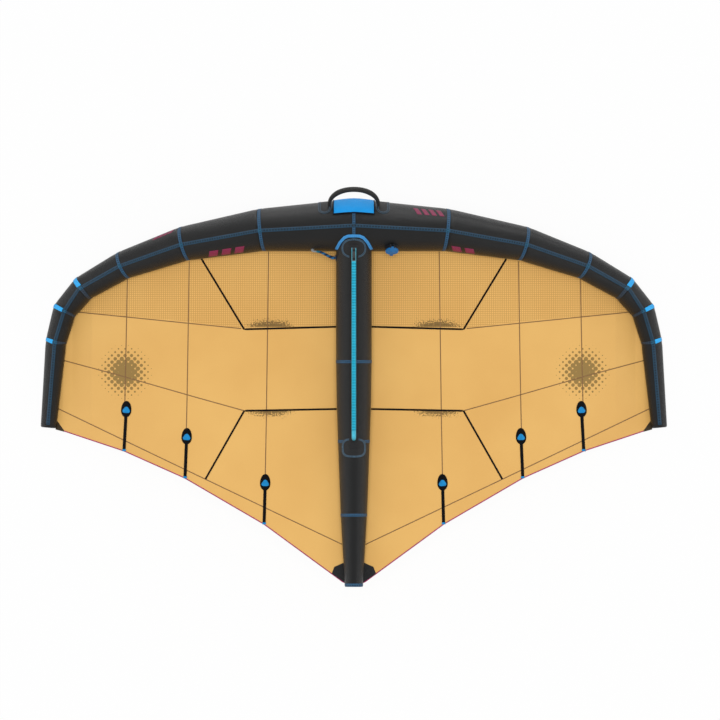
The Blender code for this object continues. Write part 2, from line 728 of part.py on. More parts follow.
def build_boom(wing, le_cutter, strut_cutter):
    rise = LE_RISE + BOOM_RISE
    radius = BOOM_DIAMETER / 2
    pin_place = Vector((0, -BOOM_PIN_BACK, rise))
    pivot = wing.pivot("boom_pivot", pin_place)

    base_top = strut_rise(BOOM_PIN_BACK) + strut_radius(BOOM_PIN_BACK) + BRACKET_HEIGHT
    base_low = base_top - 2 * BRACKET_HEIGHT - BRACKET_WIDTH / 4
    base_back = BOOM_PIN_BACK + BRACKET_LENGTH / 2 - TONGUE_DEPTH
    bracket = wing.add(
        "boom_front_bracket",
        block(
            "boom_front_bracket",
            (BRACKET_WIDTH, BRACKET_LENGTH, base_top - base_low),
            (0, -base_back, (base_top + base_low) / 2),
        ),
        BLACK,
        0.45,
    )
    tongue = wing.add(
        "tongue_body",
        block(
            "tongue_body",
            (TONGUE_WIDTH, TONGUE_DEPTH + TONGUE_TAIL, rise - base_top + BRACKET_HEIGHT),
            (0, -BOOM_PIN_BACK - TONGUE_TAIL / 2, (rise + base_top - BRACKET_HEIGHT) / 2),
        ),
    )
    half = Vector((TONGUE_WIDTH / 2, 0, 0))
    tongue_eye = wing.add(
        "tongue_eye", cylinder("tongue_eye", TONGUE_DEPTH / 2, pin_place - half, pin_place + half)
    )
    reach = Vector((BOOM_DIAMETER, 0, 0))
    pin_hole = wing.add(
        "pin_hole", cylinder("pin_hole", PIN_DIAMETER / 2 + GAP, pin_place - reach, pin_place + reach)
    )
    cut(bracket, tongue, "UNION")
    cut(bracket, tongue_eye, "UNION")
    cut(bracket, strut_cutter)
    cut(bracket, le_cutter)
    cut(bracket, pin_hole)

    half = Vector((PIN_LENGTH / 2, 0, 0))
    pin_mesh = cylinder("boom_pivot_pin", PIN_DIAMETER / 2, pin_place - half, pin_place + half)
    wing.add("boom_pivot_pin", pin_mesh, STEEL, 0.3, 1.0)

    grip_front = Vector((0, -BOOM_GRIP_FRONT, rise))
    fork = wing.add(
        "boom_fork", cylinder("boom_fork", radius, pin_place, grip_front), TURQUOISE, 0.5, pivot=pivot
    )
    eye_radius = radius - GAP
    half = Vector((eye_radius, 0, 0))
    eyes_mesh = cylinder("fork_eyes", eye_radius, pin_place - half, pin_place + half)
    fork_eyes = wing.add("fork_eyes", eyes_mesh)
    slot_depth = FORK_THROAT + radius + OVERRUN
    slot = wing.add(
        "fork_slot",
        block(
            "fork_slot",
            (FORK_SLOT, slot_depth, BOOM_DIAMETER + OVERRUN),
            (0, -BOOM_PIN_BACK - FORK_THROAT + slot_depth / 2, rise),
        ),
    )
    cut(fork, fork_eyes, "UNION")
    cut(fork, slot)
    cut(fork, pin_hole)

    grip_rear = Vector((0, -BOOM_GRIP_REAR, rise))
    start = grip_front - Vector((0, GAP, 0))
    wing.add("boom_grip", cylinder("boom_grip", radius, start, grip_rear), TURQUOISE, 0.8, pivot=pivot)

    saddle_rise = strut_rise(BOOM_FOOT_BACK) + strut_radius(BOOM_FOOT_BACK) + SADDLE_HEIGHT
    leg_foot = saddle_rise + CHEEK_HEIGHT / 2
    corner = Vector((0, -BOOM_FOOT_BACK + BOOM_BEND, rise - BOOM_BEND))
    leg = [grip_rear - Vector((0, GAP, 0))]
    for i in range(9):
        turn = pi / 2 * i / 8
        leg.append(corner + BOOM_BEND * Vector((0, -sin(turn), cos(turn))))
    leg.append(Vector((0, -BOOM_FOOT_BACK, saddle_rise + CHEEK_HEIGHT + GAP)))
    foot = wing.add(
        "boom_rear_leg", swept("boom_rear_leg", leg, radius - GAP, resolution=4), TURQUOISE, 0.5, pivot=pivot
    )
    blade_low = saddle_rise + GAP
    blade_top = leg_foot + CHEEK_HEIGHT
    blade = wing.add(
        "leg_blade",
        block(
            "leg_blade",
            (BLADE_WIDTH, BLADE_LENGTH, blade_top - blade_low),
            (0, -BOOM_FOOT_BACK, (blade_top + blade_low) / 2),
        ),
    )
    cut(foot, blade, "UNION")

    saddle_low = saddle_rise - 2 * SADDLE_HEIGHT - SADDLE_WIDTH / 4
    saddle = wing.add(
        "boom_rear_saddle",
        block(
            "boom_rear_saddle",
            (SADDLE_WIDTH, SADDLE_LENGTH, saddle_rise - saddle_low),
            (0, -BOOM_FOOT_BACK - SADDLE_LENGTH / 6, (saddle_rise + saddle_low) / 2),
        ),
        BLACK,
        0.45,
    )
    for side in (-1, 1):
        width = (CHEEK_WIDTH - BLADE_WIDTH) / 2 - GAP
        cheek = wing.add(
            f"saddle_cheek_{side + 2}",
            block(
                f"saddle_cheek_{side + 2}",
                (width, CHEEK_LENGTH, CHEEK_HEIGHT + SADDLE_HEIGHT / 2),
                (
                    side * (CHEEK_WIDTH / 2 - width / 2),
                    -BOOM_FOOT_BACK,
                    saddle_rise + CHEEK_HEIGHT / 2 - SADDLE_HEIGHT / 4,
                ),
            ),
        )
        cut(saddle, cheek, "UNION")
    cut(saddle, strut_cutter)


# Front handle


def wrapped(name, rows):
    """Sheet on the tube's skin from (angle, out from, out to) rows."""
    grid = []
    for angle, start, end in rows:
        line = []
        for out in (start, (start + end) / 2, end):
            point = le_point(le_joint_at(abs(out)), angle, GAP, corner=False)
            line.append(Vector((point.x if out >= 0 else -point.x, point.y, point.z)))
        grid.append(line)
    return loft(name, grid, round_ring=False, flip=True)


def cushion(name, low, top):
    """Closed body between two grids of points, with a rim round their edges."""
    bm = bmesh.new()
    rims = []
    for grid in (low, top):
        rows = [[bm.verts.new(point) for point in row] for row in grid]
        for near, far in zip(rows, rows[1:]):
            for i in range(len(near) - 1):
                corners = (near[i], near[i + 1], far[i + 1], far[i])
                add_bulged_quad(bm, corners, lambda point: point.y + point.z)
        rims.append(rows[0] + [row[-1] for row in rows[1:]] + rows[-1][-2::-1] + [row[0] for row in rows[-2:0:-1]])
    count = len(rims[0])
    for i in range(count):
        j = (i + 1) % count
        bm.faces.new((rims[0][i], rims[0][j], rims[1][j], rims[1][i]))
    bmesh.ops.recalc_face_normals(bm, faces=bm.faces)
    return mesh_from(bm, name)


def build_handle(wing):
    low, top = [], []
    for angle, row_share in zip(PAD_ANGLES, PAD_ROW_SHARES):
        for grid, raised in ((low, 0.0), (top, 1.0)):
            line = []
            for share in PAD_COLUMN_SHARES:
                rise = PAD_EDGE + PAD_CROWN * row_share * (1 - share**6)
                point = le_point(le_joint_at(PAD_REACH * abs(share)), angle, GAP + raised * rise)
                line.append(Vector((point.x if share >= 0 else -point.x, point.y, point.z)))
            grid.append(line)
    wing.add("front_handle_pad", cushion("front_handle_pad", low, top), SKY_BLUE, 0.6)

    arc = le_radius(le_joint_at(ANCHOR_REACH))
    for side, sign in (("right", 1), ("left", -1)):
        rows = []
        for step in (-2, -1, 0, 1, 2):
            angle = ANCHOR_ANGLE + step * pi / SIDES
            width = (ANCHOR_RADIUS**2 - (arc * step * pi / SIDES) ** 2) ** 0.5
            ends = sorted((sign * ANCHOR_REACH - width, sign * ANCHOR_REACH + width))
            rows.append((angle, *ends))
        name = f"front_handle_anchor_{side}"
        anchor = wing.add(name, wrapped(name, rows), BLACK, 0.7)
        add_wall(anchor, ANCHOR_THICKNESS, offset=1.0)

    stand = GAP + ANCHOR_THICKNESS + GAP + HANDLE_END_RADIUS
    foot = le_point(le_joint_at(HANDLE_REACH), HANDLE_ANGLE, stand)
    forward = Vector((0, cos(HANDLE_ANGLE), sin(HANDLE_ANGLE)))
    pivot = wing.pivot("front_handle_pivot", Vector((0, foot.y, foot.z)))
    points, shares = [], []
    steps = 28
    power = 2 / HANDLE_CORNER_SHARE
    end_share = HANDLE_END_RADIUS / HANDLE_CROWN_RADIUS
    for i in range(steps + 1):
        turn = pi * i / steps
        out = -foot.x * abs(cos(turn)) ** power * (1 if cos(turn) > 0 else -1)
        high = HANDLE_STAND * sin(turn) ** power if 0 < i < steps else 0.0
        points.append(Vector((out, foot.y, foot.z)) + forward * high)
        shares.append(lerp(end_share, 1.0, min(1.0, 1.3 * sin(turn))))
    for end, sign in ((0, 1), (-1, -1)):
        base = points[end]
        tail = [base - forward * HANDLE_END_RADIUS * sin(radians(a)) for a in (30, 60, 80)]
        tail_shares = [end_share * cos(radians(a)) for a in (30, 60, 80)]
        if sign > 0:
            points = tail[::-1] + points
            shares = tail_shares[::-1] + shares
        else:
            points += tail
            shares += tail_shares
    mesh = swept("front_handle", points, HANDLE_CROWN_RADIUS, shares, resolution=2)
    wing.add("front_handle", mesh, BLACK, 0.8, pivot=pivot)


# Inflation valve


def local_block(name, frame, size, centre):
    mesh = block(name, size, centre)
    mesh.transform(frame)
    return mesh


def build_valve(wing, casing, bladder):
    frame = le_local_frame(VALVE_OUT, VALVE_ANGLE)
    hole_low = frame @ Vector((0, 0, -VALVE_NECK - OVERRUN))
    hole_top = frame @ Vector((0, 0, VALVE_FLANGE))
    hole = wing.add("valve_hole", cylinder("valve_hole", VALVE_NECK_RADIUS + GAP, hole_low, hole_top))
    cut(casing, hole)
    cut(bladder, hole)

    profile = [
        (VALVE_BORE_RADIUS, VALVE_COLLAR),
        (VALVE_COLLAR_RADIUS, VALVE_COLLAR),
        (VALVE_COLLAR_RADIUS, VALVE_FLANGE),
        (VALVE_FLANGE_RADIUS, VALVE_FLANGE / 2),
        (VALVE_FLANGE_RADIUS, 0.0),
        (VALVE_NECK_RADIUS, 0.0),
        (VALVE_NECK_RADIUS, -VALVE_NECK),
        (VALVE_BORE_RADIUS, -VALVE_NECK),
    ]
    base = turned(wing, "valve_base", profile, frame, BLACK, 0.5)
    rim_low = VALVE_COLLAR + GAP
    rim_top = rim_low + INSERT_RIM
    cap_low = rim_top + GAP
    barrel_rise = cap_low + CAP_THICKNESS / 2
    for side in (-1, 1):
        ear_out = side * (CAP_ARM_WIDTH / 2 + GAP + EAR_WIDTH / 2)
        ear_top = barrel_rise + CAP_BARREL_RADIUS
        name = f"valve_ear_{side + 2}"
        centre = (ear_out, CAP_BARREL_OUT, (ear_top + VALVE_FLANGE / 4) / 2)
        size = (EAR_WIDTH, EAR_DEPTH, ear_top - VALVE_FLANGE / 4)
        ear = wing.add(name, local_block(name, frame, size, centre))
        cut(base, ear, "UNION")

    insert_pivot = wing.pivot("valve_insert_pivot", frame @ Vector((0, 0, rim_low)))
    body_radius = VALVE_BORE_RADIUS - GAP
    profile = [
        (0.0, rim_top - INSERT_RECESS),
        (INSERT_RECESS_RADIUS, rim_top - INSERT_RECESS),
        (INSERT_RECESS_RADIUS, rim_top),
        (INSERT_RIM_RADIUS, rim_top),
        (INSERT_RIM_RADIUS, rim_low),
        (body_radius, rim_low),
        (body_radius, -INSERT_DEPTH),
        (0.0, -INSERT_DEPTH),
    ]
    turned(wing, "valve_insert", profile, frame, PALE_GREY, 0.5, pivot=insert_pivot, hollow=False)

    barrel = Vector((0, CAP_BARREL_OUT, barrel_rise))
    cap_pivot = wing.pivot("valve_cap_pivot", frame @ barrel)
    cap_bottom = frame @ Vector((0, 0, cap_low))
    cap_top = frame @ Vector((0, 0, cap_low + CAP_THICKNESS))
    cap = wing.add(
        "valve_cap", cylinder("valve_cap", CAP_RADIUS, cap_bottom, cap_top, sides=32), SKY_BLUE, 0.4, pivot=cap_pivot
    )
    arm_start = CAP_RADIUS - CAP_TAB / 2
    arm = wing.add(
        "cap_arm",
        local_block(
            "cap_arm",
            frame,
            (CAP_ARM_WIDTH, CAP_BARREL_OUT - arm_start, CAP_THICKNESS),
            (0, (CAP_BARREL_OUT + arm_start) / 2, barrel_rise),
        ),
    )
    half = Vector((CAP_ARM_WIDTH / 2, 0, 0))
    roll = wing.add(
        "cap_barrel",
        cylinder("cap_barrel", CAP_BARREL_RADIUS, frame @ (barrel - half), frame @ (barrel + half), sides=16),
    )
    tab = wing.add(
        "cap_tab",
        local_block(
            "cap_tab",
            frame,
            (CAP_TAB_WIDTH, 2 * CAP_TAB, CAP_THICKNESS),
            (0, -CAP_RADIUS, barrel_rise),
        ),
    )
    for piece in (arm, roll, tab):
        cut(cap, piece, "UNION")


# Inflation hose


def build_hose(wing, casing, le_bladder, strut_casing, strut_bladder):
    frame = le_local_frame(HOSE_OUT, HOSE_ANGLE, side=-1)
    neck_low = frame @ Vector((0, 0, -ELBOW_NECK))
    hole_low = frame @ Vector((0, 0, -ELBOW_NECK - OVERRUN))
    hole_top = frame @ Vector((0, 0, OVERRUN))
    hole = wing.add("elbow_hole", cylinder("elbow_hole", ELBOW_RADIUS + GAP, hole_low, hole_top))
    cut(casing, hole)
    cut(le_bladder, hole)

    rise = PORT_FLANGE + ELBOW_RADIUS
    points = [neck_low, frame @ Vector((0, 0, rise))]
    for i in range(1, 7):
        turn = pi / 2 * i / 6
        point = Vector((ELBOW_BEND * (1 - cos(turn)), 0, rise + ELBOW_BEND * sin(turn)))
        points.append(frame @ point)
    elbow_end = frame @ Vector((ELBOW_BEND + ELBOW_RUN, 0, rise + ELBOW_BEND))
    points.append(elbow_end)
    elbow = wing.add("hose_elbow", swept("hose_elbow", points, ELBOW_RADIUS, resolution=3), PALE_GREY, 0.4)
    flange_top = frame @ Vector((0, 0, PORT_FLANGE))
    flange_low = frame @ Vector((0, 0, 0))
    flange = wing.add("elbow_flange", cylinder("elbow_flange", ELBOW_FLANGE_RADIUS, flange_low, flange_top))
    cut(elbow, flange, "UNION")

    skin = facet_drop(strut_radius(PORT_BACK)) + GAP
    port_foot = Vector((-skin, -PORT_BACK, strut_rise(PORT_BACK)))
    port_frame = Matrix.Translation(port_foot) @ Matrix.Rotation(-pi / 2, 4, "Y")
    inward = port_frame @ Vector((0, 0, -PORT_NECK - OVERRUN))
    outward = port_frame @ Vector((0, 0, OVERRUN))
    hole = wing.add("port_hole", cylinder("port_hole", PORT_NECK_RADIUS + GAP, inward, outward))
    cut(strut_casing, hole)
    cut(strut_bladder, hole)
    profile = [
        (HOSE_RADIUS / 2, PORT_NOSE),
        (HOSE_RADIUS, PORT_NOSE),
        (HOSE_RADIUS, PORT_FLANGE),
        (PORT_FLANGE_RADIUS, PORT_FLANGE),
        (PORT_FLANGE_RADIUS, 0.0),
        (PORT_NECK_RADIUS, 0.0),
        (PORT_NECK_RADIUS, -PORT_NECK),
        (HOSE_RADIUS / 2, -PORT_NECK),
    ]
    turned(wing, "hose_strut_port", profile, port_frame, PALE_GREY, 0.4, steps=24)

    start_way = (frame.to_3x3() @ Vector((1, 0, 0))).normalized()
    end_way = Vector((1, 0, 0))
    first = elbow_end + start_way * GAP
    last = port_frame @ Vector((0, 0, PORT_NOSE + GAP))
    start = first + start_way * HOSE_RADIUS
    end = last - end_way * HOSE_RADIUS
    reach = (end - start).length / 3
    inner = [start + start_way * reach, end - end_way * reach]
    points = [first]
    for i in range(17):
        t = i / 16
        point = start * (1 - t) ** 3 + inner[0] * 3 * t * (1 - t) ** 2
        points.append(point + inner[1] * 3 * t**2 * (1 - t) + end * t**3)
    points.append(last)
    wing.add("inflation_hose", swept("inflation_hose", points, HOSE_RADIUS, resolution=2), SKY_BLUE, 0.5)


def settle_on_ground(wing):
    """Moves the whole wing so that its box stands on z = 0 and is centred on the origin."""
    bpy.context.view_layer.update()
    graph = bpy.context.evaluated_depsgraph_get()
    low = Vector((1e9, 1e9, 1e9))
    high = -low
    for obj in wing.parts.objects:
        if obj.type != "MESH":
            continue
        shape = obj.evaluated_get(graph)
        mesh = shape.to_mesh()
        for vertex in mesh.vertices:
            point = shape.matrix_world @ vertex.co
            low = Vector(map(min, low, point))
            high = Vector(map(max, high, point))
        shape.to_mesh_clear()
    middle = (low + high) / 2
    wing.root.location = (-middle.x, -middle.y, -low.z)


def main():
    clear_scene()
    wing = Wing()
    le_panels, le_bladder = build_leading_edge(wing)
    strut_panels, strut_bladder, le_cutter, strut_cutter = build_strut(wing)
    build_canopy(wing)
    build_hem(wing)
    build_battens(wing)
    build_boom(wing, le_cutter, strut_cutter)
    build_handle(wing)
    build_valve(wing, le_panels["le_panel_right_1"], le_bladder)
    build_hose(
        wing, le_panels["le_panel_left_1"], le_bladder, strut_panels["strut_panel_1"], strut_bladder
    )
    settle_on_ground(wing)


main()
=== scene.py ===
from math import ceil, cos, exp, pi, radians, sin, tau

import bmesh
import bpy
import numpy as np
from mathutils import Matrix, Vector
from mathutils.bvhtree import BVHTree


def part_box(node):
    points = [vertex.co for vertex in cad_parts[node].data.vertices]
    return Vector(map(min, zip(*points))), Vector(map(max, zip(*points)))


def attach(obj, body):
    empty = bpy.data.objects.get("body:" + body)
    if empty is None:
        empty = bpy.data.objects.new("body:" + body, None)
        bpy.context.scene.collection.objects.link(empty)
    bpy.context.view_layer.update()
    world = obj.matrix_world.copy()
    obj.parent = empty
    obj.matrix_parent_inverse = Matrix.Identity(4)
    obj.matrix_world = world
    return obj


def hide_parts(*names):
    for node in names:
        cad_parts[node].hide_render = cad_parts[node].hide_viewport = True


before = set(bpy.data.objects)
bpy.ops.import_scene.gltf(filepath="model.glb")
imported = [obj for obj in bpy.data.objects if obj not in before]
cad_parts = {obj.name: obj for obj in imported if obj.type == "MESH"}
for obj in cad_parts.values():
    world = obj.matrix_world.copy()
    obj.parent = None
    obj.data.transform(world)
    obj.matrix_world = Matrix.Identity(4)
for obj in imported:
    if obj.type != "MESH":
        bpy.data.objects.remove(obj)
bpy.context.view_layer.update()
scene = bpy.context.scene
scene.view_settings.view_transform = "Standard"

# Camera: it looks straight down on the rider's side, as the photograph does, from
# far away, so that the outline is nearly a plan. The picture is 720 x 720.
VIEW_WIDTH = 3.528
VIEW_CENTRE = (0.030, 0.132)
VIEW_DISTANCE = 80.0
VIEW_PLANE = 0.15
bpy.ops.object.camera_add(location=(*VIEW_CENTRE, VIEW_PLANE + VIEW_DISTANCE), rotation=(0, 0, 0))
camera = bpy.context.object
camera.data.sensor_width = 36.0
camera.data.lens = camera.data.sensor_width * VIEW_DISTANCE / VIEW_WIDTH
camera.data.clip_end = 3 * VIEW_DISTANCE
scene.camera = camera

# Studio: a wide pale floor under even light from all round and from straight above. Three
# low soft panels, in front and at both sides, only show as streaks along the tubes.
FLOOR_SIZE = 60.0
FLOOR_GREY = (0.90, 0.90, 0.90)
PAPER_GLOW = 0.93
WHITE = (1, 1, 1)
AIR_STRENGTH = 0.50
SUN_HEIGHT = 6.0
SUN_STRENGTH = 1.60
SUN_SPREAD = radians(25)
LAMP_DISTANCE = 9.0
# Each lamp: name, bearing and height in degrees, width and rise in metres, and watts.
LAMPS = (
    ("front_panel", 90, 11, 7.0, 2.6, 420.0),
    ("right_panel", 0, 14, 6.0, 3.0, 160.0),
    ("left_panel", 180, 14, 6.0, 3.0, 160.0),
)


class Field:
    """A value that changes over a material. Sums on it add math nodes."""

    def __init__(self, socket):
        self.socket = socket
        self.tree = socket.id_data

    def __add__(self, other):
        return reckon("ADD", self, other)

    def __sub__(self, other):
        return reckon("SUBTRACT", self, other)

    def __rsub__(self, other):
        return reckon("SUBTRACT", other, self)

    def __mul__(self, other):
        return reckon("MULTIPLY", self, other)

    def __truediv__(self, other):
        return reckon("DIVIDE", self, other)

    def __abs__(self):
        return reckon("ABSOLUTE", self)

    def __lt__(self, other):
        return reckon("LESS_THAN", self, other)

    def __gt__(self, other):
        return reckon("GREATER_THAN", self, other)


def feed(value, socket):
    """Gives a socket a field, a colour or a number."""
    if isinstance(value, Field):
        value.tree.links.new(value.socket, socket)
    elif isinstance(value, tuple):
        socket.default_value = (*value, 1)
    else:
        socket.default_value = value


def added(tree, kind, *values):
    """A new node whose first sockets are fed."""
    made = tree.nodes.new(kind)
    for socket, value in zip(made.inputs, values):
        feed(value, socket)
    return made


def reckon(operation, *values, clamp=False):
    """One math node on fields and numbers."""
    tree = next(value.tree for value in values if isinstance(value, Field))
    made = added(tree, "ShaderNodeMath", *values)
    made.operation = operation
    made.use_clamp = clamp
    return Field(made.outputs[0])


def studio_paper():
    """Paper that looks nearly white, and yet lights the object only by what falls on it."""
    paper = bpy.data.materials.new("studio_paper")
    paper.use_nodes = True
    tree = paper.node_tree
    tree.nodes.clear()
    rays = tree.nodes.new("ShaderNodeLightPath").outputs
    kinds = ("Camera", "Glossy", "Transmission")
    direct, glossy, through = (Field(rays[f"Is {kind} Ray"]) for kind in kinds)
    seen = reckon("ADD", reckon("ADD", direct, glossy, clamp=True), through, clamp=True)
    lit = Field(added(tree, "ShaderNodeBsdfDiffuse", FLOOR_GREY).outputs[0])
    white = Field(added(tree, "ShaderNodeEmission", WHITE).outputs[0])
    bright = Field(added(tree, "ShaderNodeMixShader", PAPER_GLOW, lit, white).outputs[0])
    shown = Field(added(tree, "ShaderNodeMixShader", seen, lit, bright).outputs[0])
    added(tree, "ShaderNodeOutputMaterial", shown)
    return paper


bpy.ops.mesh.primitive_plane_add(size=FLOOR_SIZE)
floor = bpy.context.object
floor.name = "studio_floor"
floor.data.materials.append(studio_paper())

scene.world = bpy.data.worlds.new("studio_air")
scene.world.use_nodes = True
air = scene.world.node_tree.nodes["Background"]
feed(WHITE, air.inputs["Color"])
feed(AIR_STRENGTH, air.inputs["Strength"])

bpy.ops.object.light_add(type="SUN", location=(0, 0, SUN_HEIGHT))
sun = bpy.context.object
sun.name = "high_sun"
sun.data.energy = SUN_STRENGTH
sun.data.angle = SUN_SPREAD
sun.visible_glossy = False

for name, azimuth, height, width, rise, power in LAMPS:
    turn, tilt = radians(azimuth), radians(height)
    way = Vector((cos(turn) * cos(tilt), sin(turn) * cos(tilt), sin(tilt)))
    bpy.ops.object.light_add(type="AREA", location=way * LAMP_DISTANCE)
    lamp = bpy.context.object
    lamp.name = name
    lamp.data.shape = "RECTANGLE"
    lamp.data.size = width
    lamp.data.size_y = rise
    lamp.data.energy = power
    lamp.rotation_euler = way.to_track_quat("Z", "Y").to_euler()
    lamp.visible_diffuse = False


# Leading edge casing: charcoal woven polyester, cut in straight panels and sewn into a
# tube that bends at each seam. The casing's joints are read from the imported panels. It is
# blown up hard by the bladder inside, and each seam draws it in a little.
SIDES = ((1, "right"), (-1, "left"))
UP = Vector((0, 0, 1))
RING_POINTS = 48
SEAM_PINCH = 0.0016
SEAM_PINCH_REACH = 0.018
CLOTH_THICKNESS = 0.0008
PANEL_SPLIT = 0.0001
CASING_STEPS = 96
TIP_SHORT = 0.011
TIP_NOSE = 0.010
TIP_STRAIGHT = 0.80
TIP_DISC = 0.80
CHARCOAL = (0.0105, 0.0108, 0.0112)
SCUFF_SPREAD = (0.45, 0.75)
GRAIN_DEPTH = 0.00012
# How far the tube's front and rear swell out at each joint, from the middle to the tip.
SIDE_SWELL = (0.0, 0.0, 0.0, 0.0, 0.0010, 0.0032, 0.0036, 0.0036)


def loose(node):
    """A CAD node's own points, each once."""
    points = np.array([vertex.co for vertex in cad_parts[node].data.vertices])
    return np.unique(points.round(5), axis=0)


def ring_of(points):
    """Centre, front, up and radius of a ring of points round the tube."""
    centre = Vector(points.mean(axis=0))
    along = Vector(np.linalg.svd(points - points.mean(axis=0))[2][2])
    along *= 1 if along.x > 0 else -1
    front = UP.cross(along).normalized()
    radius = max((Vector(point) - centre).length for point in points)
    return centre, front, along.cross(front), radius


first = loose("le_panel_right_1")
tube = [ring_of(first[first[:, 0] < 0.001])]
for node in [f"le_panel_right_{number}" for number in range(2, 7)] + ["le_tip_right"]:
    points = loose(node)
    way_out = Vector(points.mean(axis=0)) - tube[-1][0]
    points = points[np.argsort(points @ np.array(way_out), kind="stable")]
    tube.append(ring_of(points[:RING_POINTS]))
tube.append(ring_of(points[RING_POINTS : 2 * RING_POINTS]))
LAST_JOINT = len(tube) - 1


def panel_length(k):
    """Length of the tube's axis from one joint to the next."""
    return (tube[k + 1][0] - tube[k][0]).length


TIP_END = LAST_JOINT - TIP_SHORT / panel_length(LAST_JOINT - 1)


def between(entries, place):
    """The value at a place between the numbered entries of a list."""
    return float(np.interp(place, range(len(entries)), entries))


def drawn_in(joint):
    """How far the nearest seams draw the tube in."""
    k = min(int(joint), LAST_JOINT - 1)
    run = (joint - k) * panel_length(k)
    near = exp(-((run / SEAM_PINCH_REACH) ** 2))
    far = exp(-(((panel_length(k) - run) / SEAM_PINCH_REACH) ** 2)) if k + 1 < LAST_JOINT else 0.0
    return SEAM_PINCH * (near + far)


def on_side(side, point):
    """A point of the right half, or its mirror image on the left."""
    return Vector((side * point.x, point.y, point.z))


def tube_point(joint, angle, lift=0.0):
    """Point on the inflated tube. Joints count from the middle and are below zero on the
    left. Angle 0 faces front and 90 degrees faces up."""
    side, joint = (-1 if joint < 0 else 1), abs(joint)
    k = min(int(joint), LAST_JOINT - 1)
    swell = between(SIDE_SWELL, joint) * cos(angle) ** 2
    ends = []
    for centre, front, up, radius in (tube[k], tube[k + 1]):
        reach = radius - drawn_in(joint) + swell + lift
        ends.append(centre + reach * (front * cos(angle) + up * sin(angle)))
    return on_side(side, ends[0].lerp(ends[1], joint - k))


def pick(piece):
    """Makes a piece the only chosen one."""
    bpy.ops.object.select_all(action="DESELECT")
    piece.select_set(True)
    bpy.context.view_layer.objects.active = piece


def laid_grid(name, steps, place, size):
    """A grid of small squares laid on a curved face, with a flat pattern in metres as its UV map."""
    bpy.ops.mesh.primitive_grid_add(x_subdivisions=steps[0], y_subdivisions=steps[1], size=1.0)
    piece = bpy.context.object
    piece.name = name
    for vertex in piece.data.vertices:
        vertex.co = place(vertex.co.x + 0.5, vertex.co.y + 0.5)
    for corner in piece.data.uv_layers[0].data:
        corner.uv = (corner.uv[0] * size[0], corner.uv[1] * size[1])
    return piece


def close_up(piece, flat=None):
    """Joins edges that meet, merges faces within a flat angle, turns all outwards and smooths them."""
    pick(piece)
    bpy.ops.object.mode_set(mode="EDIT")
    bpy.ops.mesh.select_all(action="SELECT")
    bpy.ops.mesh.remove_doubles(threshold=0.00002)
    if flat:
        bpy.ops.mesh.dissolve_limited(angle_limit=flat)
    bpy.ops.mesh.normals_make_consistent(inside=False)
    bpy.ops.object.mode_set(mode="OBJECT")
    bpy.ops.object.shade_smooth()


def face_up(piece, towards):
    """Turns an open sheet so that its faces look the given way."""
    way = sum((face.normal * face.area for face in piece.data.polygons), Vector())
    if way.dot(towards) < 0:
        piece.data.flip_normals()
    piece.data.shade_smooth()


def apply(piece, kind, **values):
    """Adds one modifier and applies it."""
    made = piece.modifiers.new(kind.title(), kind)
    for key, value in values.items():
        setattr(made, key, value)
    pick(piece)
    bpy.ops.object.modifier_apply(modifier=made.name)


def laid_sheet(name, steps, place, size, thickness, towards=None, closed=False):
    """Thin material on a curved face, whose outer side looks the given way. Discs and rings
    are closed round, and so are tubes, which look outwards without being told."""
    piece = laid_grid(name, steps, place, size)
    if closed or towards is None:
        close_up(piece)
    if towards is not None:
        face_up(piece, towards)
    apply(piece, "SOLIDIFY", thickness=thickness, offset=-1)
    return piece


def fit(piece, material, slot, *nodes, body="wing"):
    """Gives a piece its finish and its body, and hides the CAD nodes that it stands for. The slot is not
    used.
    """
    piece.data.materials.clear()
    piece.data.materials.append(material)
    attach(piece, body)
    if nodes:
        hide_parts(*nodes)


def plain_finish(name, colour, roughness, **sockets):
    """A principled material, whose other sockets are given by name."""
    material = bpy.data.materials.new(name)
    material.use_nodes = True
    shader = material.node_tree.nodes["Principled BSDF"]
    feed(colour, shader.inputs["Base Color"])
    feed(roughness, shader.inputs["Roughness"])
    for key, value in sockets.items():
        feed(value, shader.inputs[key.replace("_", " ")])
    return material


def pattern_of(material, source="UV"):
    """A piece's coordinates in metres, one by one and together."""
    tree = material.node_tree
    together = Field(tree.nodes.new("ShaderNodeTexCoord").outputs[source])
    x, y, z = (Field(part) for part in added(tree, "ShaderNodeSeparateXYZ", together).outputs)
    return x, y, z, together


def ripple(place, pitch):
    """A wave along one coordinate, from -1 to 1."""
    return reckon("SINE", place * (tau / pitch))


def mixed(share, first, second):
    """Blends two colours, each a field or three numbers."""
    made = share.tree.nodes.new("ShaderNodeMix")
    made.data_type = "RGBA"
    feed(share, made.inputs["Factor"])
    feed(first, made.inputs[6])
    feed(second, made.inputs[7])
    return Field(made.outputs[2])


def dressed(material, colour, bumps, depth, roughness=None):
    """Gives a material a colour, bumps and perhaps a roughness that change over it."""
    shader = material.node_tree.nodes["Principled BSDF"]
    bump = bumps.tree.nodes.new("ShaderNodeBump")
    feed(depth, bump.inputs["Distance"])
    feed(bumps, bump.inputs["Height"])
    feed(Field(bump.outputs["Normal"]), shader.inputs["Normal"])
    feed(colour, shader.inputs["Base Color"])
    if roughness:
        feed(roughness, shader.inputs["Roughness"])
    return material


def cloudy(place, scale, low=0.35, high=0.65):
    """Soft noise from 0 to 1."""
    noise = place.tree.nodes.new("ShaderNodeTexNoise")
    feed(place, noise.inputs["Vector"])
    feed(scale, noise.inputs["Scale"])
    feed(3.0, noise.inputs["Detail"])
    return Field(added(place.tree, "ShaderNodeMapRange", Field(noise.outputs[0]), low, high).outputs[0])


def darker(colour, shade):
    return tuple(channel * shade for channel in colour)


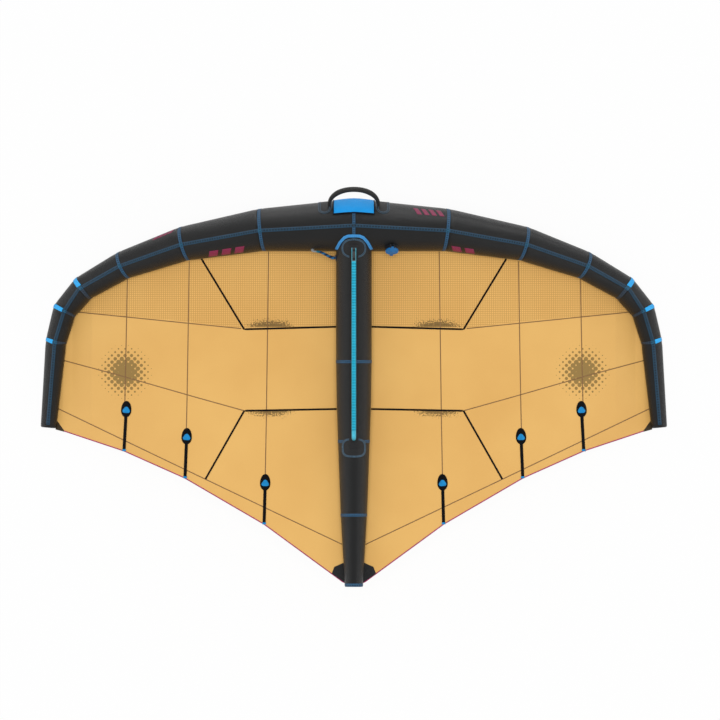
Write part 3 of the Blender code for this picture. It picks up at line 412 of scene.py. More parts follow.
def woven(name, colour, pitch, roughness=0.62, shade=0.8, gloss=0.5):
    """Plain woven cloth: threads over and under at a pitch, with faint cloudy wear."""
    material = plain_finish(name, colour, roughness, Specular_IOR_Level=gloss)
    u, v, _, flat = pattern_of(material)
    threads = ripple(u, pitch) * ripple(v, pitch)
    share = reckon("ADD", (threads * 0.25 + 0.5) * 0.5, cloudy(flat, 9.0) * 0.5, clamp=True)
    return dressed(material, mixed(share, darker(colour, shade), colour), threads, pitch / 8)


def moulded(name, colour, roughness=0.45, grain=700.0, metallic=0.0, gloss=0.5):
    """Moulded or milled finish: a fine grain, a faint cloudy tone and scuffs that shine less."""
    material = plain_finish(name, colour, roughness, Metallic=metallic, Specular_IOR_Level=gloss)
    *_, place = pattern_of(material, "Object")
    tone = mixed(cloudy(place, 40.0), darker(colour, 0.78), colour)
    scuffed = cloudy(place, 120.0, *SCUFF_SPREAD) * 0.2 + roughness
    return dressed(material, tone, cloudy(place, grain), GRAIN_DEPTH, scuffed)


casing_cloth = woven("charcoal_casing_cloth", CHARCOAL, 0.0012, roughness=0.36, shade=0.86, gloss=0.36)


def casing_panel(side, word, number):
    """One straight panel of the tube between two joints."""
    start, end = side * (number - 1 + PANEL_SPLIT), side * (number - PANEL_SPLIT)

    def place(u, v):
        return tube_point(start + (end - start) * v, tau * u)

    size = (tau * tube[number - 1][3], panel_length(number - 1))
    piece = laid_sheet(f"casing_{word}_{number}", (CASING_STEPS, 24), place, size, CLOTH_THICKNESS)
    fit(piece, casing_cloth, "casing", f"le_panel_{word}_{number}")


def tip_panel(side, word):
    """The last panel, whose end is gathered round a flat disc."""
    along = (tube[LAST_JOINT][0] - tube[LAST_JOINT - 1][0]).normalized()
    centre = tube[LAST_JOINT][0] - along * TIP_SHORT

    def place(u, v):
        if v <= TIP_STRAIGHT:
            run = (TIP_END - LAST_JOINT + 1) * v / TIP_STRAIGHT
            return tube_point(side * (LAST_JOINT - 1 + run), tau * u)
        turn = (v - TIP_STRAIGHT) / (1 - TIP_STRAIGHT) * pi
        reach, out = TIP_DISC * 2 * (1 - turn / pi), TIP_NOSE
        if turn < pi / 2:
            reach, out = TIP_DISC + (1 - TIP_DISC) * cos(turn), TIP_NOSE * sin(turn)
        rim = tube_point(TIP_END, tau * u)
        return on_side(side, centre.lerp(rim, reach) + along * out)

    size = (tau * tube[LAST_JOINT][3], panel_length(LAST_JOINT - 1))
    piece = laid_grid(f"casing_tip_{word}", (CASING_STEPS, 50), place, size)
    close_up(piece)
    fit(piece, casing_cloth, "casing", f"le_tip_{word}")


for side, word in SIDES:
    for number in range(1, LAST_JOINT):
        casing_panel(side, word, number)
    tip_panel(side, word)


# Seam tapes: polyester tape folded over each seam of the leading edge and held down by
# rows of zigzag stitching. One tape runs the whole length of the tube. Near the tips the
# front half of each joint carries a bright marker tape.
TAPE_THICKNESS = 0.0006
TAPE_LIFT = 0.0012
LONG_LIFT = TAPE_LIFT + 0.0006
MARKER_LIFT = TAPE_LIFT + 0.0008
CROSSING_LIFT = TAPE_LIFT + 0.0014
JOINT_TAPE = 0.0142
LONG_TAPE = 0.0175
MARKER_TAPE = 0.0215
CROSSING_TAPE = 1.08 * JOINT_TAPE
CROSSING_HALF = 0.011
LONG_TAPE_END = TIP_END - 0.01
FIRST_MARKED = 4
MARKER_START = radians(-60)
STITCH_GAP = 0.62
STITCH_RAISE = 0.0006
THREAD_TWIST = 0.0012
# Each of these has one value for each joint, from the middle to the tip.
LONG_TAPE_ANGLES = (91.2, 91.5, 90.5, 87.0, 79.0, 89.0, 83.0, 85.0)
TAPE_INBOARD = (0.0, 0.007, 0.005, 0.003, 0.0, 0.0, 0.004)
TAPE_BOW = (0.0, 0.0, 0.0, 0.0, 0.014, 0.0, -0.004)


def stitched_tape(name, ground, thread, width, pitch=0.0115):
    """Tape sewn down by zigzag rows that cross and leave dark diamonds between them. u runs along."""
    material = plain_finish(name, ground, 0.6)
    u, v, _, flat = pattern_of(material)
    along = abs(reckon("FRACT", u / pitch) - 0.5) * 2.0
    across = abs(v - width / 2) / (width / 2)
    wear = cloudy(flat, 60.0) * 0.3 + 0.70 + ripple(u + v, THREAD_TWIST) * 0.12
    worn = reckon("MULTIPLY", along + across > STITCH_GAP, wear, clamp=True)
    return dressed(material, mixed(worn, ground, thread), worn, STITCH_RAISE)


joint_tape = stitched_tape("joint_tape_blue", (0.005, 0.024, 0.052), (0.021, 0.100, 0.205), JOINT_TAPE)
dim_tape = stitched_tape("joint_tape_dark", (0.010, 0.018, 0.028), (0.024, 0.045, 0.075), JOINT_TAPE)
long_tape = stitched_tape("long_tape_blue", (0.004, 0.014, 0.025), (0.013, 0.056, 0.105), LONG_TAPE, 0.0095)
crossing_tape = stitched_tape("crossing_tape_blue", (0.005, 0.040, 0.080), (0.010, 0.105, 0.200), JOINT_TAPE)
marker_tape = stitched_tape("marker_tape_blue", (0.016, 0.420, 1.0), (0.028, 0.48, 1.0), MARKER_TAPE)


def long_tape_angle(joint):
    return radians(between(LONG_TAPE_ANGLES, abs(joint)))


def tape_round(name, joint, width, material, start=0.0, end=tau, lift=TAPE_LIFT):
    """Tape round the tube at a joint, half on each panel."""
    k, side = abs(joint), (-1 if joint < 0 else 1)
    inner, outer = panel_length(max(k - 1, 0)), panel_length(k)

    def place(u, v):
        angle = start + (end - start) * u
        inboard = TAPE_INBOARD[k] + TAPE_BOW[k] * max(sin(angle), 0.0) ** 2
        run = (v - 0.5) * width
        return tube_point(side * (k - inboard / inner + run / (outer if run > 0 else inner)), angle, lift)

    steps = (max(8, ceil(CASING_STEPS * (end - start) / tau)), 4)
    size = ((end - start) * tube[k][3], width)
    towards = place(0.5, 0.5) - on_side(side, tube[k][0]) if end - start < tau else None
    fit(laid_sheet(name, steps, place, size, TAPE_THICKNESS, towards), material, "casing")


def tube_radius(joint):
    return between([ring[3] for ring in tube], joint)


def tape_along(side, word):
    """The long tape of one half, from the middle seam to the tip."""
    def place(u, v):
        joint = u * LONG_TAPE_END
        angle = long_tape_angle(joint) + (v - 0.5) * LONG_TAPE / tube_radius(joint)
        return tube_point(side * joint, angle, LONG_LIFT)

    length = sum(panel_length(k) for k in range(LAST_JOINT))
    piece = laid_sheet(f"long_tape_{word}", (280, 4), place, (length, LONG_TAPE), TAPE_THICKNESS, UP)
    fit(piece, long_tape, "casing")


for joint in range(1 - LAST_JOINT, LAST_JOINT):
    word = "middle" if joint == 0 else f"{'left' if joint < 0 else 'right'}_{abs(joint)}"
    marked = abs(joint) >= FIRST_MARKED
    tape_round(f"joint_tape_{word}", joint, JOINT_TAPE, dim_tape if marked else joint_tape)
    half = CROSSING_HALF / tube[abs(joint)][3]
    low, high = long_tape_angle(joint) - half, long_tape_angle(joint) + half
    if marked:
        tape_round(f"marker_tape_{word}", joint, MARKER_TAPE, marker_tape, MARKER_START, low, MARKER_LIFT)
    if joint:
        tape_round(f"crossing_tape_{word}", joint, CROSSING_TAPE, crossing_tape, low, high, CROSSING_LIFT)
for side, word in SIDES:
    tape_along(side, word)


# Printed bars: short slanted magenta bars on the casing, in four groups. Each bar is a thin
# film of ink, laid on the tube between two angles.
BAR_LEAN = 0.045
BAR_LENGTH = 0.05
BAR_LIFT = 0.0006
BAR_THICKNESS = 0.0005
# Each group: name, first bar's joint number, pace to the next bar, number of bars, width of
# a bar, and the lowest and highest angle in degrees.
BAR_GROUPS = (
    ("left_rear", -1.29, -0.170, 3, 0.046, 130, 160),
    ("left_front", -2.12, -0.080, 4, 0.022, 12, 32),
    ("right_front", 0.66, 0.078, 4, 0.022, 30, 52),
    ("right_rear", 1.14, 0.170, 2, 0.046, 136, 162),
)
bar_ink = woven("bar_ink_magenta", (0.30, 0.018, 0.085), 0.0012, roughness=0.5, shade=0.8)


def printed_bar(name, joint, width, low, high):
    """One bar round the tube from a low to a high angle, which leans outwards as it rises."""
    side = -1 if joint < 0 else 1
    length = panel_length(int(abs(joint)))

    def place(u, v):
        out = (u - 0.5) * width / length + (v - 0.5) * BAR_LEAN
        return tube_point(joint + side * out, low + (high - low) * v, BAR_LIFT)

    towards = place(0.5, 0.5) - tube_point(joint, low + pi)
    piece = laid_sheet(name, (6, 10), place, (width, BAR_LENGTH), BAR_THICKNESS, towards)
    fit(piece, bar_ink, "casing")


for group, joint, pace, count, width, low, high in BAR_GROUPS:
    for number in range(count):
        name = f"printed_bar_{group}_{number + 1}"
        printed_bar(name, joint + pace * number, width, radians(low), radians(high))


# Centre strut: the same charcoal cloth in four tapered panels round its own bladder. It
# is sewn to the leading edge under a blue arched tape, and lies on the canopy.
STRUT_PANELS = 4
HALF_FACET = pi / 24
STRUT_CUT = 0.0045
STRUT_STRAIGHT = 0.9
STRUT_CREASE = radians(60)
TAIL_TAPE = 0.016
TAIL_TAPE_INSET = 0.0085

strut_stations = []
for number in range(1, STRUT_PANELS + 1):
    points = loose(f"strut_panel_{number}")
    for y in np.unique(points[:, 1].round(3)):
        ring = points[abs(points[:, 1] - y) < 0.0007]
        if len(ring) >= RING_POINTS:
            low, high = ring[:, 2].min(), ring[:, 2].max()
            radius = float(high - low) / 2 / cos(HALF_FACET)
            strut_stations.append((float(ring[:, 1].mean()), float(low + high) / 2, radius))
strut_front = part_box("strut_panel_1")[1]
widest = max(radius for _, _, radius in strut_stations)
strut_stations.append((strut_front.y, strut_front.z - widest * cos(HALF_FACET), widest))
strut_stations.sort()


def strut_at(y):
    """Height of the strut's axis, and its radius, at a place along it."""
    places, rises, radii = zip(*strut_stations)
    return float(np.interp(y, places, rises)), float(np.interp(y, places, radii))


def strut_point(y, angle, lift=0.0):
    """Point on the strut. Angle 0 faces right and 90 degrees faces up."""
    rise, radius = strut_at(y)
    return Vector(((radius + lift) * cos(angle), y, rise + (radius + lift) * sin(angle)))


def strut_casing(number, start, end):
    """One panel of the strut. The last one is gathered flat over its end."""
    last = number == STRUT_PANELS

    def place(u, v):
        if not last or v <= STRUT_STRAIGHT:
            y = start + (end - start) * (v / STRUT_STRAIGHT if last else v)
            return strut_point(y, tau * u)
        rise, radius = strut_at(end)
        reach = radius * (1 - v) / (1 - STRUT_STRAIGHT)
        return Vector((reach * cos(tau * u), end, rise + reach * sin(tau * u)))

    size = (tau * strut_at(start)[1], start - end)
    piece = laid_grid(f"strut_casing_{number}", (CASING_STEPS, 30), place, size)
    close_up(piece)
    bpy.ops.object.shade_smooth_by_angle(angle=STRUT_CREASE)
    fit(piece, casing_cloth, "casing", f"strut_panel_{number}")


def strut_tape(name, y, width):
    def place(u, v):
        return strut_point(y + (v - 0.5) * width, tau * u, TAPE_LIFT)

    size = (tau * strut_at(y)[1], width)
    fit(laid_sheet(name, (CASING_STEPS, 3), place, size, TAPE_THICKNESS), joint_tape, "casing")


strut_seams = [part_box(f"strut_panel_{number}")[0].y for number in range(1, STRUT_PANELS)]
strut_ends = [strut_front.y, *strut_seams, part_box(f"strut_panel_{STRUT_PANELS}")[0].y + STRUT_CUT]
for number, (start, end) in enumerate(zip(strut_ends, strut_ends[1:]), start=1):
    strut_casing(number, start, end)
for number, y in enumerate(strut_seams, start=1):
    strut_tape(f"strut_tape_{number}", y, JOINT_TAPE)
strut_tape("strut_tail_tape", strut_ends[-1] + TAIL_TAPE_INSET, TAIL_TAPE)


# The arch: a wide blue tape over the collar that joins the strut to the leading edge. It
# is laid on the casing in straight runs, so that its top is flat and its legs slope.
ARCH_WIDTH = 0.0165
ARCH_LENGTH = 0.27
ARCH_LIFT = 0.0022
ARCH_THICKNESS = 0.0012
ARCH_OUTER = ((0.0935, 0.6735), (0.0722, 0.7110), (0.0500, 0.7350), (0.0300, 0.7432), (0.0, 0.7446))
ARCH_INNER = ((0.0815, 0.6690), (0.0605, 0.7023), (0.0430, 0.7215), (0.0268, 0.7290), (0.0, 0.7305))
ARCH_LOOKS = Vector((0, -0.3, 1))
STEEPEST = 0.985


def upper_skin(x, y, lift):
    """Point over the higher of the strut and the leading edge at a plan place near the centre."""
    share = min(abs(x) / tube[1][0].x, 1.0)
    middle = tube[0][0].lerp(tube[1][0], share)
    radius = tube_radius(share) + lift
    drop = min(abs(y - middle.y), STEEPEST * radius)
    rise = middle.z + (radius * radius - drop * drop) ** 0.5
    strut_rise, strut_radius = strut_at(y)
    reach = strut_radius + lift
    if abs(x) < reach:
        rise = max(rise, strut_rise + (reach * reach - x * x) ** 0.5)
    return Vector((x, y, rise))


def along_line(corners, share):
    """Place at a share of a mirrored broken line: 0 is its right foot, 1 its left."""
    whole = list(corners) + [(-x, y) for x, y in reversed(corners[:-1])]
    run = share * (len(whole) - 1)
    k = min(int(run), len(whole) - 2)
    return Vector(whole[k]).lerp(Vector(whole[k + 1]), run - k)


def arch_place(u, v):
    point = along_line(ARCH_INNER, u).lerp(along_line(ARCH_OUTER, u), v)
    return upper_skin(point.x, point.y, ARCH_LIFT)


arch_tape = stitched_tape("arch_tape_blue", (0.042, 0.258, 0.631), (0.055, 0.32, 0.70), ARCH_WIDTH)
arch_size = (ARCH_LENGTH, ARCH_WIDTH)
arch = laid_sheet("strut_arch_tape", (96, 6), arch_place, arch_size, ARCH_THICKNESS, ARCH_LOOKS)
fit(arch, arch_tape, "casing")


# Canopy: one stretched sheet of amber ripstop cloth, sewn to the tube's lower rear and
# hemmed behind. It is printed with a coarse grid in front and a fine one behind it, and on
# each half with a round field of dots and two sprays of ink.
ATTACH_ANGLE = radians(217.5)
# Plan corners of the right half's trailing edge, from the tail to the tip.
TRAILING_CORNERS = (
    (0.0, -0.971),
    (0.0439, -0.9599),
    (0.4389, -0.6709),
    (0.8266, -0.4461),
    (1.1265, -0.3136),
    (1.4206, -0.2171),
    (1.463, -0.2058),
)
# Chord lines start at these joint numbers and end at these shares of the trailing edge.
LINE_JOINTS = (0.0, 0.92, 1.938, 2.946, 4.0, 5.0, 6.0, 6.94)
LINE_TRAIL_SHARES = (0.0, 0.300, 0.565, 0.770, 0.880, 0.940, 0.978, 1.0)
PANEL_NUDGES = (0.0, 0.002, -0.002, 0.005, -0.005)
SHEET_NUDGES = (0.0, 0.001, -0.001, 0.003, -0.003)
CLOTH_STEPS = (280, 90)
AMBER = (0.880, 0.525, 0.163)
AMBER_DEEP = (0.815, 0.465, 0.138)
GRID_SEAM = ((0, 0.2945), (0.0872, 0.2945), (0.537, 0.2823), (0.5522, 0.2857), (1.35, 0.3665), (1.6, 0.3918))
COARSE_PITCH, COARSE_WIDTH, COARSE_SHARE = 0.0105, 0.34, 0.62
FINE_PITCH, FINE_WIDTH, FINE_SHARE = 0.0050, 0.20, 0.22
COARSE_BROWN = (0.52, 0.265, 0.066)
FINE_BROWN = (0.55, 0.29, 0.07)
THREAD_RAISE = 0.0002
MOTIF_PLACE = (1.1216, 0.0735)
MOTIF_RADIUS = 0.145
MOTIF_PITCH = 0.0230
MOTIF_DOT = 0.85
MOTIF_SHARE = 0.85
MOTIF_OLIVE = (0.245, 0.160, 0.050)
SPRAY_LEVELS = ((0.2945, 1.0), (-0.1108, -1.0))
SPRAY_DEPTH = 0.055
SPRAY_MIDDLE = 0.41
SPRAY_SPREAD = 0.021
SPRAY_SHARE = 0.75
SPRAY_INK = (0.070, 0.050, 0.020)


def ray_target(meshes):
    """The faces of some meshes as one target for rays, and their area."""
    joined = bmesh.new()
    for mesh in meshes:
        joined.from_mesh(mesh)
    target = BVHTree.FromBMesh(joined)
    area = sum(face.calc_area() for face in joined.faces)
    joined.free()
    return target, area


def height_over(target, x, y, nudges):
    """Height at a plan place. A ray that slips between two faces is nudged aside."""
    for nudge in nudges:
        hit = target.ray_cast(Vector((x + nudge, y + nudge, 1.0)), -UP)[0]
        if hit:
            return hit.z
    return target.find_nearest(Vector((x, y, 0.2)))[0].z


def chord_place(joint, share):
    """Plan place on the chord line of a joint number, from the tube to the trailing edge."""
    side = -1 if joint < 0 else 1
    front = tube_point(abs(joint), ATTACH_ANGLE)
    x = TRAILING_CORNERS[-1][0] * float(np.interp(abs(joint), LINE_JOINTS, LINE_TRAIL_SHARES))
    y = float(np.interp(x, *zip(*TRAILING_CORNERS)))
    return side * (front.x + (x - front.x) * share), front.y + (y - front.y) * share


def canopy_place(u, v):
    joint = (2 * u - 1) * LINE_JOINTS[-1]
    if v == 0:
        return tube_point(joint, ATTACH_ANGLE)
    x, y = chord_place(joint, v)
    return Vector((x, y, height_over(panel_faces, x, y, PANEL_NUDGES)))


def on_cloth(x, y, lift):
    """Point over the stretched sheet."""
    return Vector((x, y, height_over(sheet_faces, x, y, SHEET_NUDGES) + lift))


def seam_line(across):
    """Where the rear seam of the front band lies, at a distance from the middle."""
    curve = across.tree.nodes.new("ShaderNodeFloatCurve")
    points = curve.mapping.curves[0].points
    reach = GRID_SEAM[-1][0]
    for number, (out, y) in enumerate(GRID_SEAM):
        if number < 2:
            points[number].location = (out / reach, y)
        else:
            points.new(out / reach, y)
    curve.mapping.update()
    feed(across / reach, curve.inputs["Value"])
    return Field(curve.outputs[0])


def net(x, y, pitch, width):
    """Lines both ways at a pitch. Their width is a share of it."""
    return reckon("MAXIMUM", *(reckon("FRACT", place / pitch) < width for place in (x, y)))


def field_of_dots(across, y):
    """A round field of dots that shrink towards its rim."""
    out, down = across - MOTIF_PLACE[0], y - MOTIF_PLACE[1]
    away = reckon("SQRT", out * out + down * down)
    slanted = (out + down, out - down)
    a, b = (reckon("FRACT", place / (MOTIF_PITCH * 2 ** 0.5)) - 0.5 for place in slanted)
    return reckon("SQRT", a * a + b * b) < (1.0 - away / MOTIF_RADIUS) * MOTIF_DOT


def spray(across, y, level, way):
    """Ink that thins out away from a load tape and along it."""
    rise = (y - level) * way
    aside = across - SPRAY_MIDDLE
    depth = (rise > 0.0) * reckon("MAXIMUM", 1.0 - rise / SPRAY_DEPTH, 0.0)
    return depth * reckon("MAXIMUM", 1.0 - aside * aside / SPRAY_SPREAD, 0.0)


def canopy_finish():
    """Amber ripstop with its two grids, its fields of dots and its speckled sprays."""
    material = plain_finish("amber_ripstop", AMBER, 0.60, Specular_IOR_Level=0.25)
    x, y, _, flat = pattern_of(material)
    across = abs(x)
    front = y > seam_line(across)
    coarse = net(x, y, COARSE_PITCH, COARSE_WIDTH) * front
    fine = net(x, y, FINE_PITCH, FINE_WIDTH) * (1.0 - front)
    ground = mixed(cloudy(flat, 2.2, 0.3, 0.7), AMBER, AMBER_DEEP)
    netted = mixed(coarse * COARSE_SHARE, mixed(fine * FINE_SHARE, ground, FINE_BROWN), COARSE_BROWN)
    dotted = mixed(field_of_dots(across, y) * MOTIF_SHARE, netted, MOTIF_OLIVE)
    before, behind = (spray(across, y, level, way) for level, way in SPRAY_LEVELS)
    speckle = cloudy(flat, 160.0, 0.25, 0.75) < before + behind
    printed = mixed(speckle * SPRAY_SHARE, dotted, SPRAY_INK)
    return dressed(material, printed, coarse + fine * 0.5, THREAD_RAISE)


canopy_nodes = [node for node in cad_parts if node.startswith("canopy_")]
panel_faces, _ = ray_target([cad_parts[node].data for node in canopy_nodes])
canopy = laid_grid("canopy", CLOTH_STEPS, canopy_place, (1.0, 1.0))
for corner, loop in zip(canopy.data.uv_layers[0].data, canopy.data.loops):
    corner.uv = canopy.data.vertices[loop.vertex_index].co.xy
face_up(canopy, UP)
sheet = bmesh.new()
sheet.from_mesh(canopy.data)
inner = [vertex.index for vertex in sheet.verts if not vertex.is_boundary]
sheet.free()
canopy.vertex_groups.new(name="inner").add(inner, 1.0, "REPLACE")
apply(canopy, "SMOOTH", factor=0.5, iterations=8, use_x=False, use_y=False, vertex_group="inner")
sheet_faces, canopy_area = ray_target([canopy.data])
fit(canopy, canopy_finish(), "canopy", *canopy_nodes)


# Felled seams and load lines: narrow strips on the cloth, grey-brown where two panels
# are folded together and black where a load tape is sewn over them.
SEAM_WIDTH = 0.0048
LOAD_WIDTH = 0.0092
STRIP_LIFT = 0.0007
LOAD_LIFT = STRIP_LIFT + 0.0006
STRIP_THICKNESS = 0.0004
STRIP_STEP = 0.012
CHORD_SEAMS = (
    ((0.4175, 0.6630), (0.4283, -0.1617), (0.4375, -0.6680)),
    ((0.8060, 0.6150), (0.8168, -0.0637), (0.8255, -0.4430)),
    ((1.1100, 0.5330), (1.1270, -0.3110)),
)
SPAN_SEAMS = (
    ("front", ((0.5522, 0.2857), (1.350, 0.3665))),
    ("middle", ((0.539, -0.1156), (0.7541, -0.0559), (1.1461, 0.0559), (1.421, 0.1289))),
    ("rear", ((0.0573, -0.7693), (1.4563, -0.1044))),
)
LOAD_TAPES = (
    ("front", ((0.7463, 0.6272), (0.537, 0.2823), (0.0872, 0.2945))),
    ("rear", ((0.0843, -0.1078), (0.5365, -0.1166), (0.7262, -0.4508))),
)
seam_brown = woven("felled_seam_brown", (0.32, 0.17, 0.065), 0.0016, roughness=0.7)
load_black = woven("load_tape_black", (0.005, 0.004, 0.004), 0.0016, roughness=0.8, gloss=0.2)


def mirrored(side, places):
    """Plan places of the right half, or their mirror image."""
    return [Vector((side * x, y)) for x, y in places]


def cloth_strip(name, places, width, material, lift=STRIP_LIFT):
    """A narrow strip laid on the canopy through plan places."""
    runs = [(b - a).length for a, b in zip(places, places[1:])]
    total = sum(runs)

    def place(u, v):
        run = u * total
        for k, length in enumerate(runs):
            if run <= length or k == len(runs) - 1:
                break
            run -= length
        step = (places[k + 1] - places[k]) / runs[k]
        point = places[k] + step * run + Vector((-step.y, step.x)) * (v - 0.5) * width
        return on_cloth(point.x, point.y, lift)

    steps = (max(6, ceil(total / STRIP_STEP)), 1)
    fit(laid_sheet(name, steps, place, (total, width), STRIP_THICKNESS, UP), material, "canopy")


for side, word in SIDES:
    for number, places in enumerate(CHORD_SEAMS, start=1):
        cloth_strip(f"chord_seam_{word}_{number}", mirrored(side, places), SEAM_WIDTH, seam_brown)
    for name, places in SPAN_SEAMS:
        cloth_strip(f"span_seam_{name}_{word}", mirrored(side, places), SEAM_WIDTH, seam_brown)
    for name, places in LOAD_TAPES:
        cloth_strip(f"load_tape_{name}_{word}", mirrored(side, places), LOAD_WIDTH, load_black, LOAD_LIFT)


# Trailing edge: a thin magenta cord of polyester from tip to tip, folded into the cloth's
# rear edge and sewn down.
HEM_WIDTH = 0.0054
HEM_STEPS = 240
magenta = moulded("magenta_cord", (0.46, 0.022, 0.150), 0.5)


def round_cord(name, width, places):
    """A round cord through places, with closed ends."""
    curve = bpy.data.curves.new(name, "CURVE")
    curve.dimensions = "3D"
    curve.bevel_depth = width / 2
    curve.bevel_resolution = 3
    curve.use_fill_caps = True
    spline = curve.splines.new("POLY")
    spline.points.add(len(places) - 1)
    for point, place in zip(spline.points, places):
        point.co = (*place, 1)
    cord = bpy.data.objects.new(name, curve)
    scene.collection.objects.link(cord)
    pick(cord)
    bpy.ops.object.convert(target="MESH")
    close_up(bpy.context.object)
    return bpy.context.object


def trailing_edge(steps):
    return [canopy_place(i / steps, 1.0) for i in range(steps + 1)]


hem = round_cord("trailing_edge_cord", HEM_WIDTH, trailing_edge(HEM_STEPS))
fit(hem, magenta, "hem", "trailing_edge_hem")


# Battens: six black moulded ends on the trailing edge, each with a flat stem, a
# pear-shaped head that stops the rod, and a blue pull set into the head.
BATTEN_LENGTH = 0.246
BATTEN_HEAD = 0.081
BATTEN_HALF = 0.0255
BATTEN_STEM_HALF = 0.0078
BATTEN_THICKNESS = 0.0030
BATTEN_LIFT, BATTEN_CROWN = 0.0022, 0.0020
HEAD_WIDEST = 0.42
PULL_PLACE = BATTEN_LENGTH - 0.57 * BATTEN_HEAD
PULL_LONG, PULL_WIDE = 0.0155, 0.0176
PULL_LOBES = 0.13
PULL_LIFT, PULL_CROWN = 0.0052, 0.0012
PULL_THICKNESS = 0.0016
STEM_END, STEM_END_HALF = 0.010, 1.1 * BATTEN_STEM_HALF
STEM_OVERHANG = 0.001
STEM_END_LIFT = 0.0056
batten_black = moulded("batten_black", (0.002, 0.002, 0.003), 0.6, grain=900.0, gloss=0.15)
pull_blue = moulded("batten_pull_blue", (0.008, 0.270, 0.640), 0.5, gloss=0.3)


def batten_half_width(run):
    """Half the batten's width at a distance from the trailing edge."""
    t = (run - (BATTEN_LENGTH - BATTEN_HEAD)) / BATTEN_HEAD
    reach = min(abs(t - HEAD_WIDEST) / (1 - HEAD_WIDEST if t > HEAD_WIDEST else HEAD_WIDEST), 1.0)
    head = BATTEN_HALF * (1 - reach * reach) ** 0.5
    return max(head, BATTEN_STEM_HALF * min(1.0, max(1 - t, 0.0) * 6) ** 0.5)


def batten(name, joint, node):
    """One batten end along a chord line, its pull and the end of its stem."""
    rear = Vector(chord_place(joint, 1.0))
    way = (Vector(chord_place(joint, 0.6)) - rear).normalized()

    def spot(run, aside, lift):
        point = rear + way * run + Vector((-way.y, way.x)) * aside
        return on_cloth(point.x, point.y, lift)

    def body(u, v):
        half = batten_half_width(BATTEN_LENGTH * u)
        crown = BATTEN_CROWN * (1 - abs(2 * v - 1) ** 2.5) * min(1.0, half / BATTEN_HALF)
        return spot(BATTEN_LENGTH * u, (2 * v - 1) * half, BATTEN_LIFT + crown)

    def pull(u, v):
        turn = tau * u
        reach = v * (1.0 + PULL_LOBES * cos(3 * turn))
        lift = PULL_LIFT + PULL_CROWN * (1 - v ** 4)
        return spot(PULL_PLACE + PULL_LONG * reach * cos(turn), PULL_WIDE * reach * sin(turn), lift)

    def stem_end(u, v):
        return spot(STEM_END * u - STEM_OVERHANG, (2 * v - 1) * STEM_END_HALF, STEM_END_LIFT)

    size = (BATTEN_LENGTH, 2 * BATTEN_HALF)
    fit(laid_sheet(name, (80, 12), body, size, BATTEN_THICKNESS, UP), batten_black, "batten", node)
    size = (tau * PULL_WIDE, PULL_LONG)
    disc = laid_sheet(f"{name}_pull", (36, 6), pull, size, PULL_THICKNESS, UP, closed=True)
    fit(disc, pull_blue, "batten")
    size = (STEM_END, 2 * STEM_END_HALF)
    fit(laid_sheet(f"{name}_tip", (6, 6), stem_end, size, BATTEN_THICKNESS, UP), pull_blue, "batten")


for side, word in SIDES:
    for number, joint in enumerate(LINE_JOINTS[1:4], start=1):
        batten(f"batten_cap_{word}_{number}", side * joint, f"batten_{word}_{number}")


# Corner patches: dark doubled cloth where the canopy's corners pull, at the two tips and
# at the tail on both sides of the strut. The tips' patches are folded round the cord.
PATCH_THICKNESS = 0.0005
TIP_PATCH = ((1.462, -0.158), (1.421, -0.2150), (1.462, -0.2045), (1.470, -0.160))
TIP_PATCH_LIFT = 0.0010
TAIL_PATCH = ((0.042, -0.8550), (0.0955, -0.8790), (0.1085, -0.9122), (0.040, -0.9605))
TAIL_PATCH_LIFT = 0.0036
FOLD_WIDTH = HEM_WIDTH + 0.0016
FOLD_STEPS = 960
patch_brown = woven("tip_patch_brown", (0.055, 0.036, 0.016), 0.0012)
patch_black = woven("tail_patch_black", (0.014, 0.014, 0.015), 0.0012)


def corner_patch(name, corners, material, lift):
    """A four-sided patch on the cloth."""
    a, b, c, d = corners

    def place(u, v):
        point = a.lerp(b, u).lerp(d.lerp(c, u), v)
        return on_cloth(point.x, point.y, lift)

    size = ((b - a).length, (d - a).length)
    fit(laid_sheet(name, (16, 16), place, size, PATCH_THICKNESS, UP), material, "canopy")


for side, word in SIDES:
    corner_patch(f"tip_patch_{word}", mirrored(side, TIP_PATCH), patch_brown, TIP_PATCH_LIFT)
    corner_patch(f"tail_patch_{word}", mirrored(side, TAIL_PATCH), patch_black, TAIL_PATCH_LIFT)
    folded = [place for place in trailing_edge(FOLD_STEPS) if side * place.x > TIP_PATCH[1][0]]
    fit(round_cord(f"tip_fold_{word}", FOLD_WIDTH, folded), patch_brown, "canopy")


# Boom patches: a round patch under the front bracket and a rounded oblong one under the
# rear saddle, glued to the strut and stitched round their edges with grey-blue thread.
BOOM_PATCH_LIFT = 0.0014
BOOM_PATCH_THICKNESS = 0.0008
PATCH_STITCH = 0.0085
STITCH_INSET = 0.0015
STITCH_LIFT = 0.0022
FRONT_PATCH_Y = 0.6770
REAR_PATCH_Y = -0.297
STITCH_DARK, STITCH_BLUE = (0.010, 0.018, 0.028), (0.060, 0.120, 0.180)
patch_cloth = woven("boom_patch_cloth", (0.019, 0.019, 0.020), 0.0012, gloss=0.38)
patch_stitches = stitched_tape("patch_stitches_blue", STITCH_DARK, STITCH_BLUE, PATCH_STITCH, 0.0090)


def signed_power(value, power):
    """A power of a number's size, with the number's own sign."""
    return abs(value) ** power * (1 if value > 0 else -1)


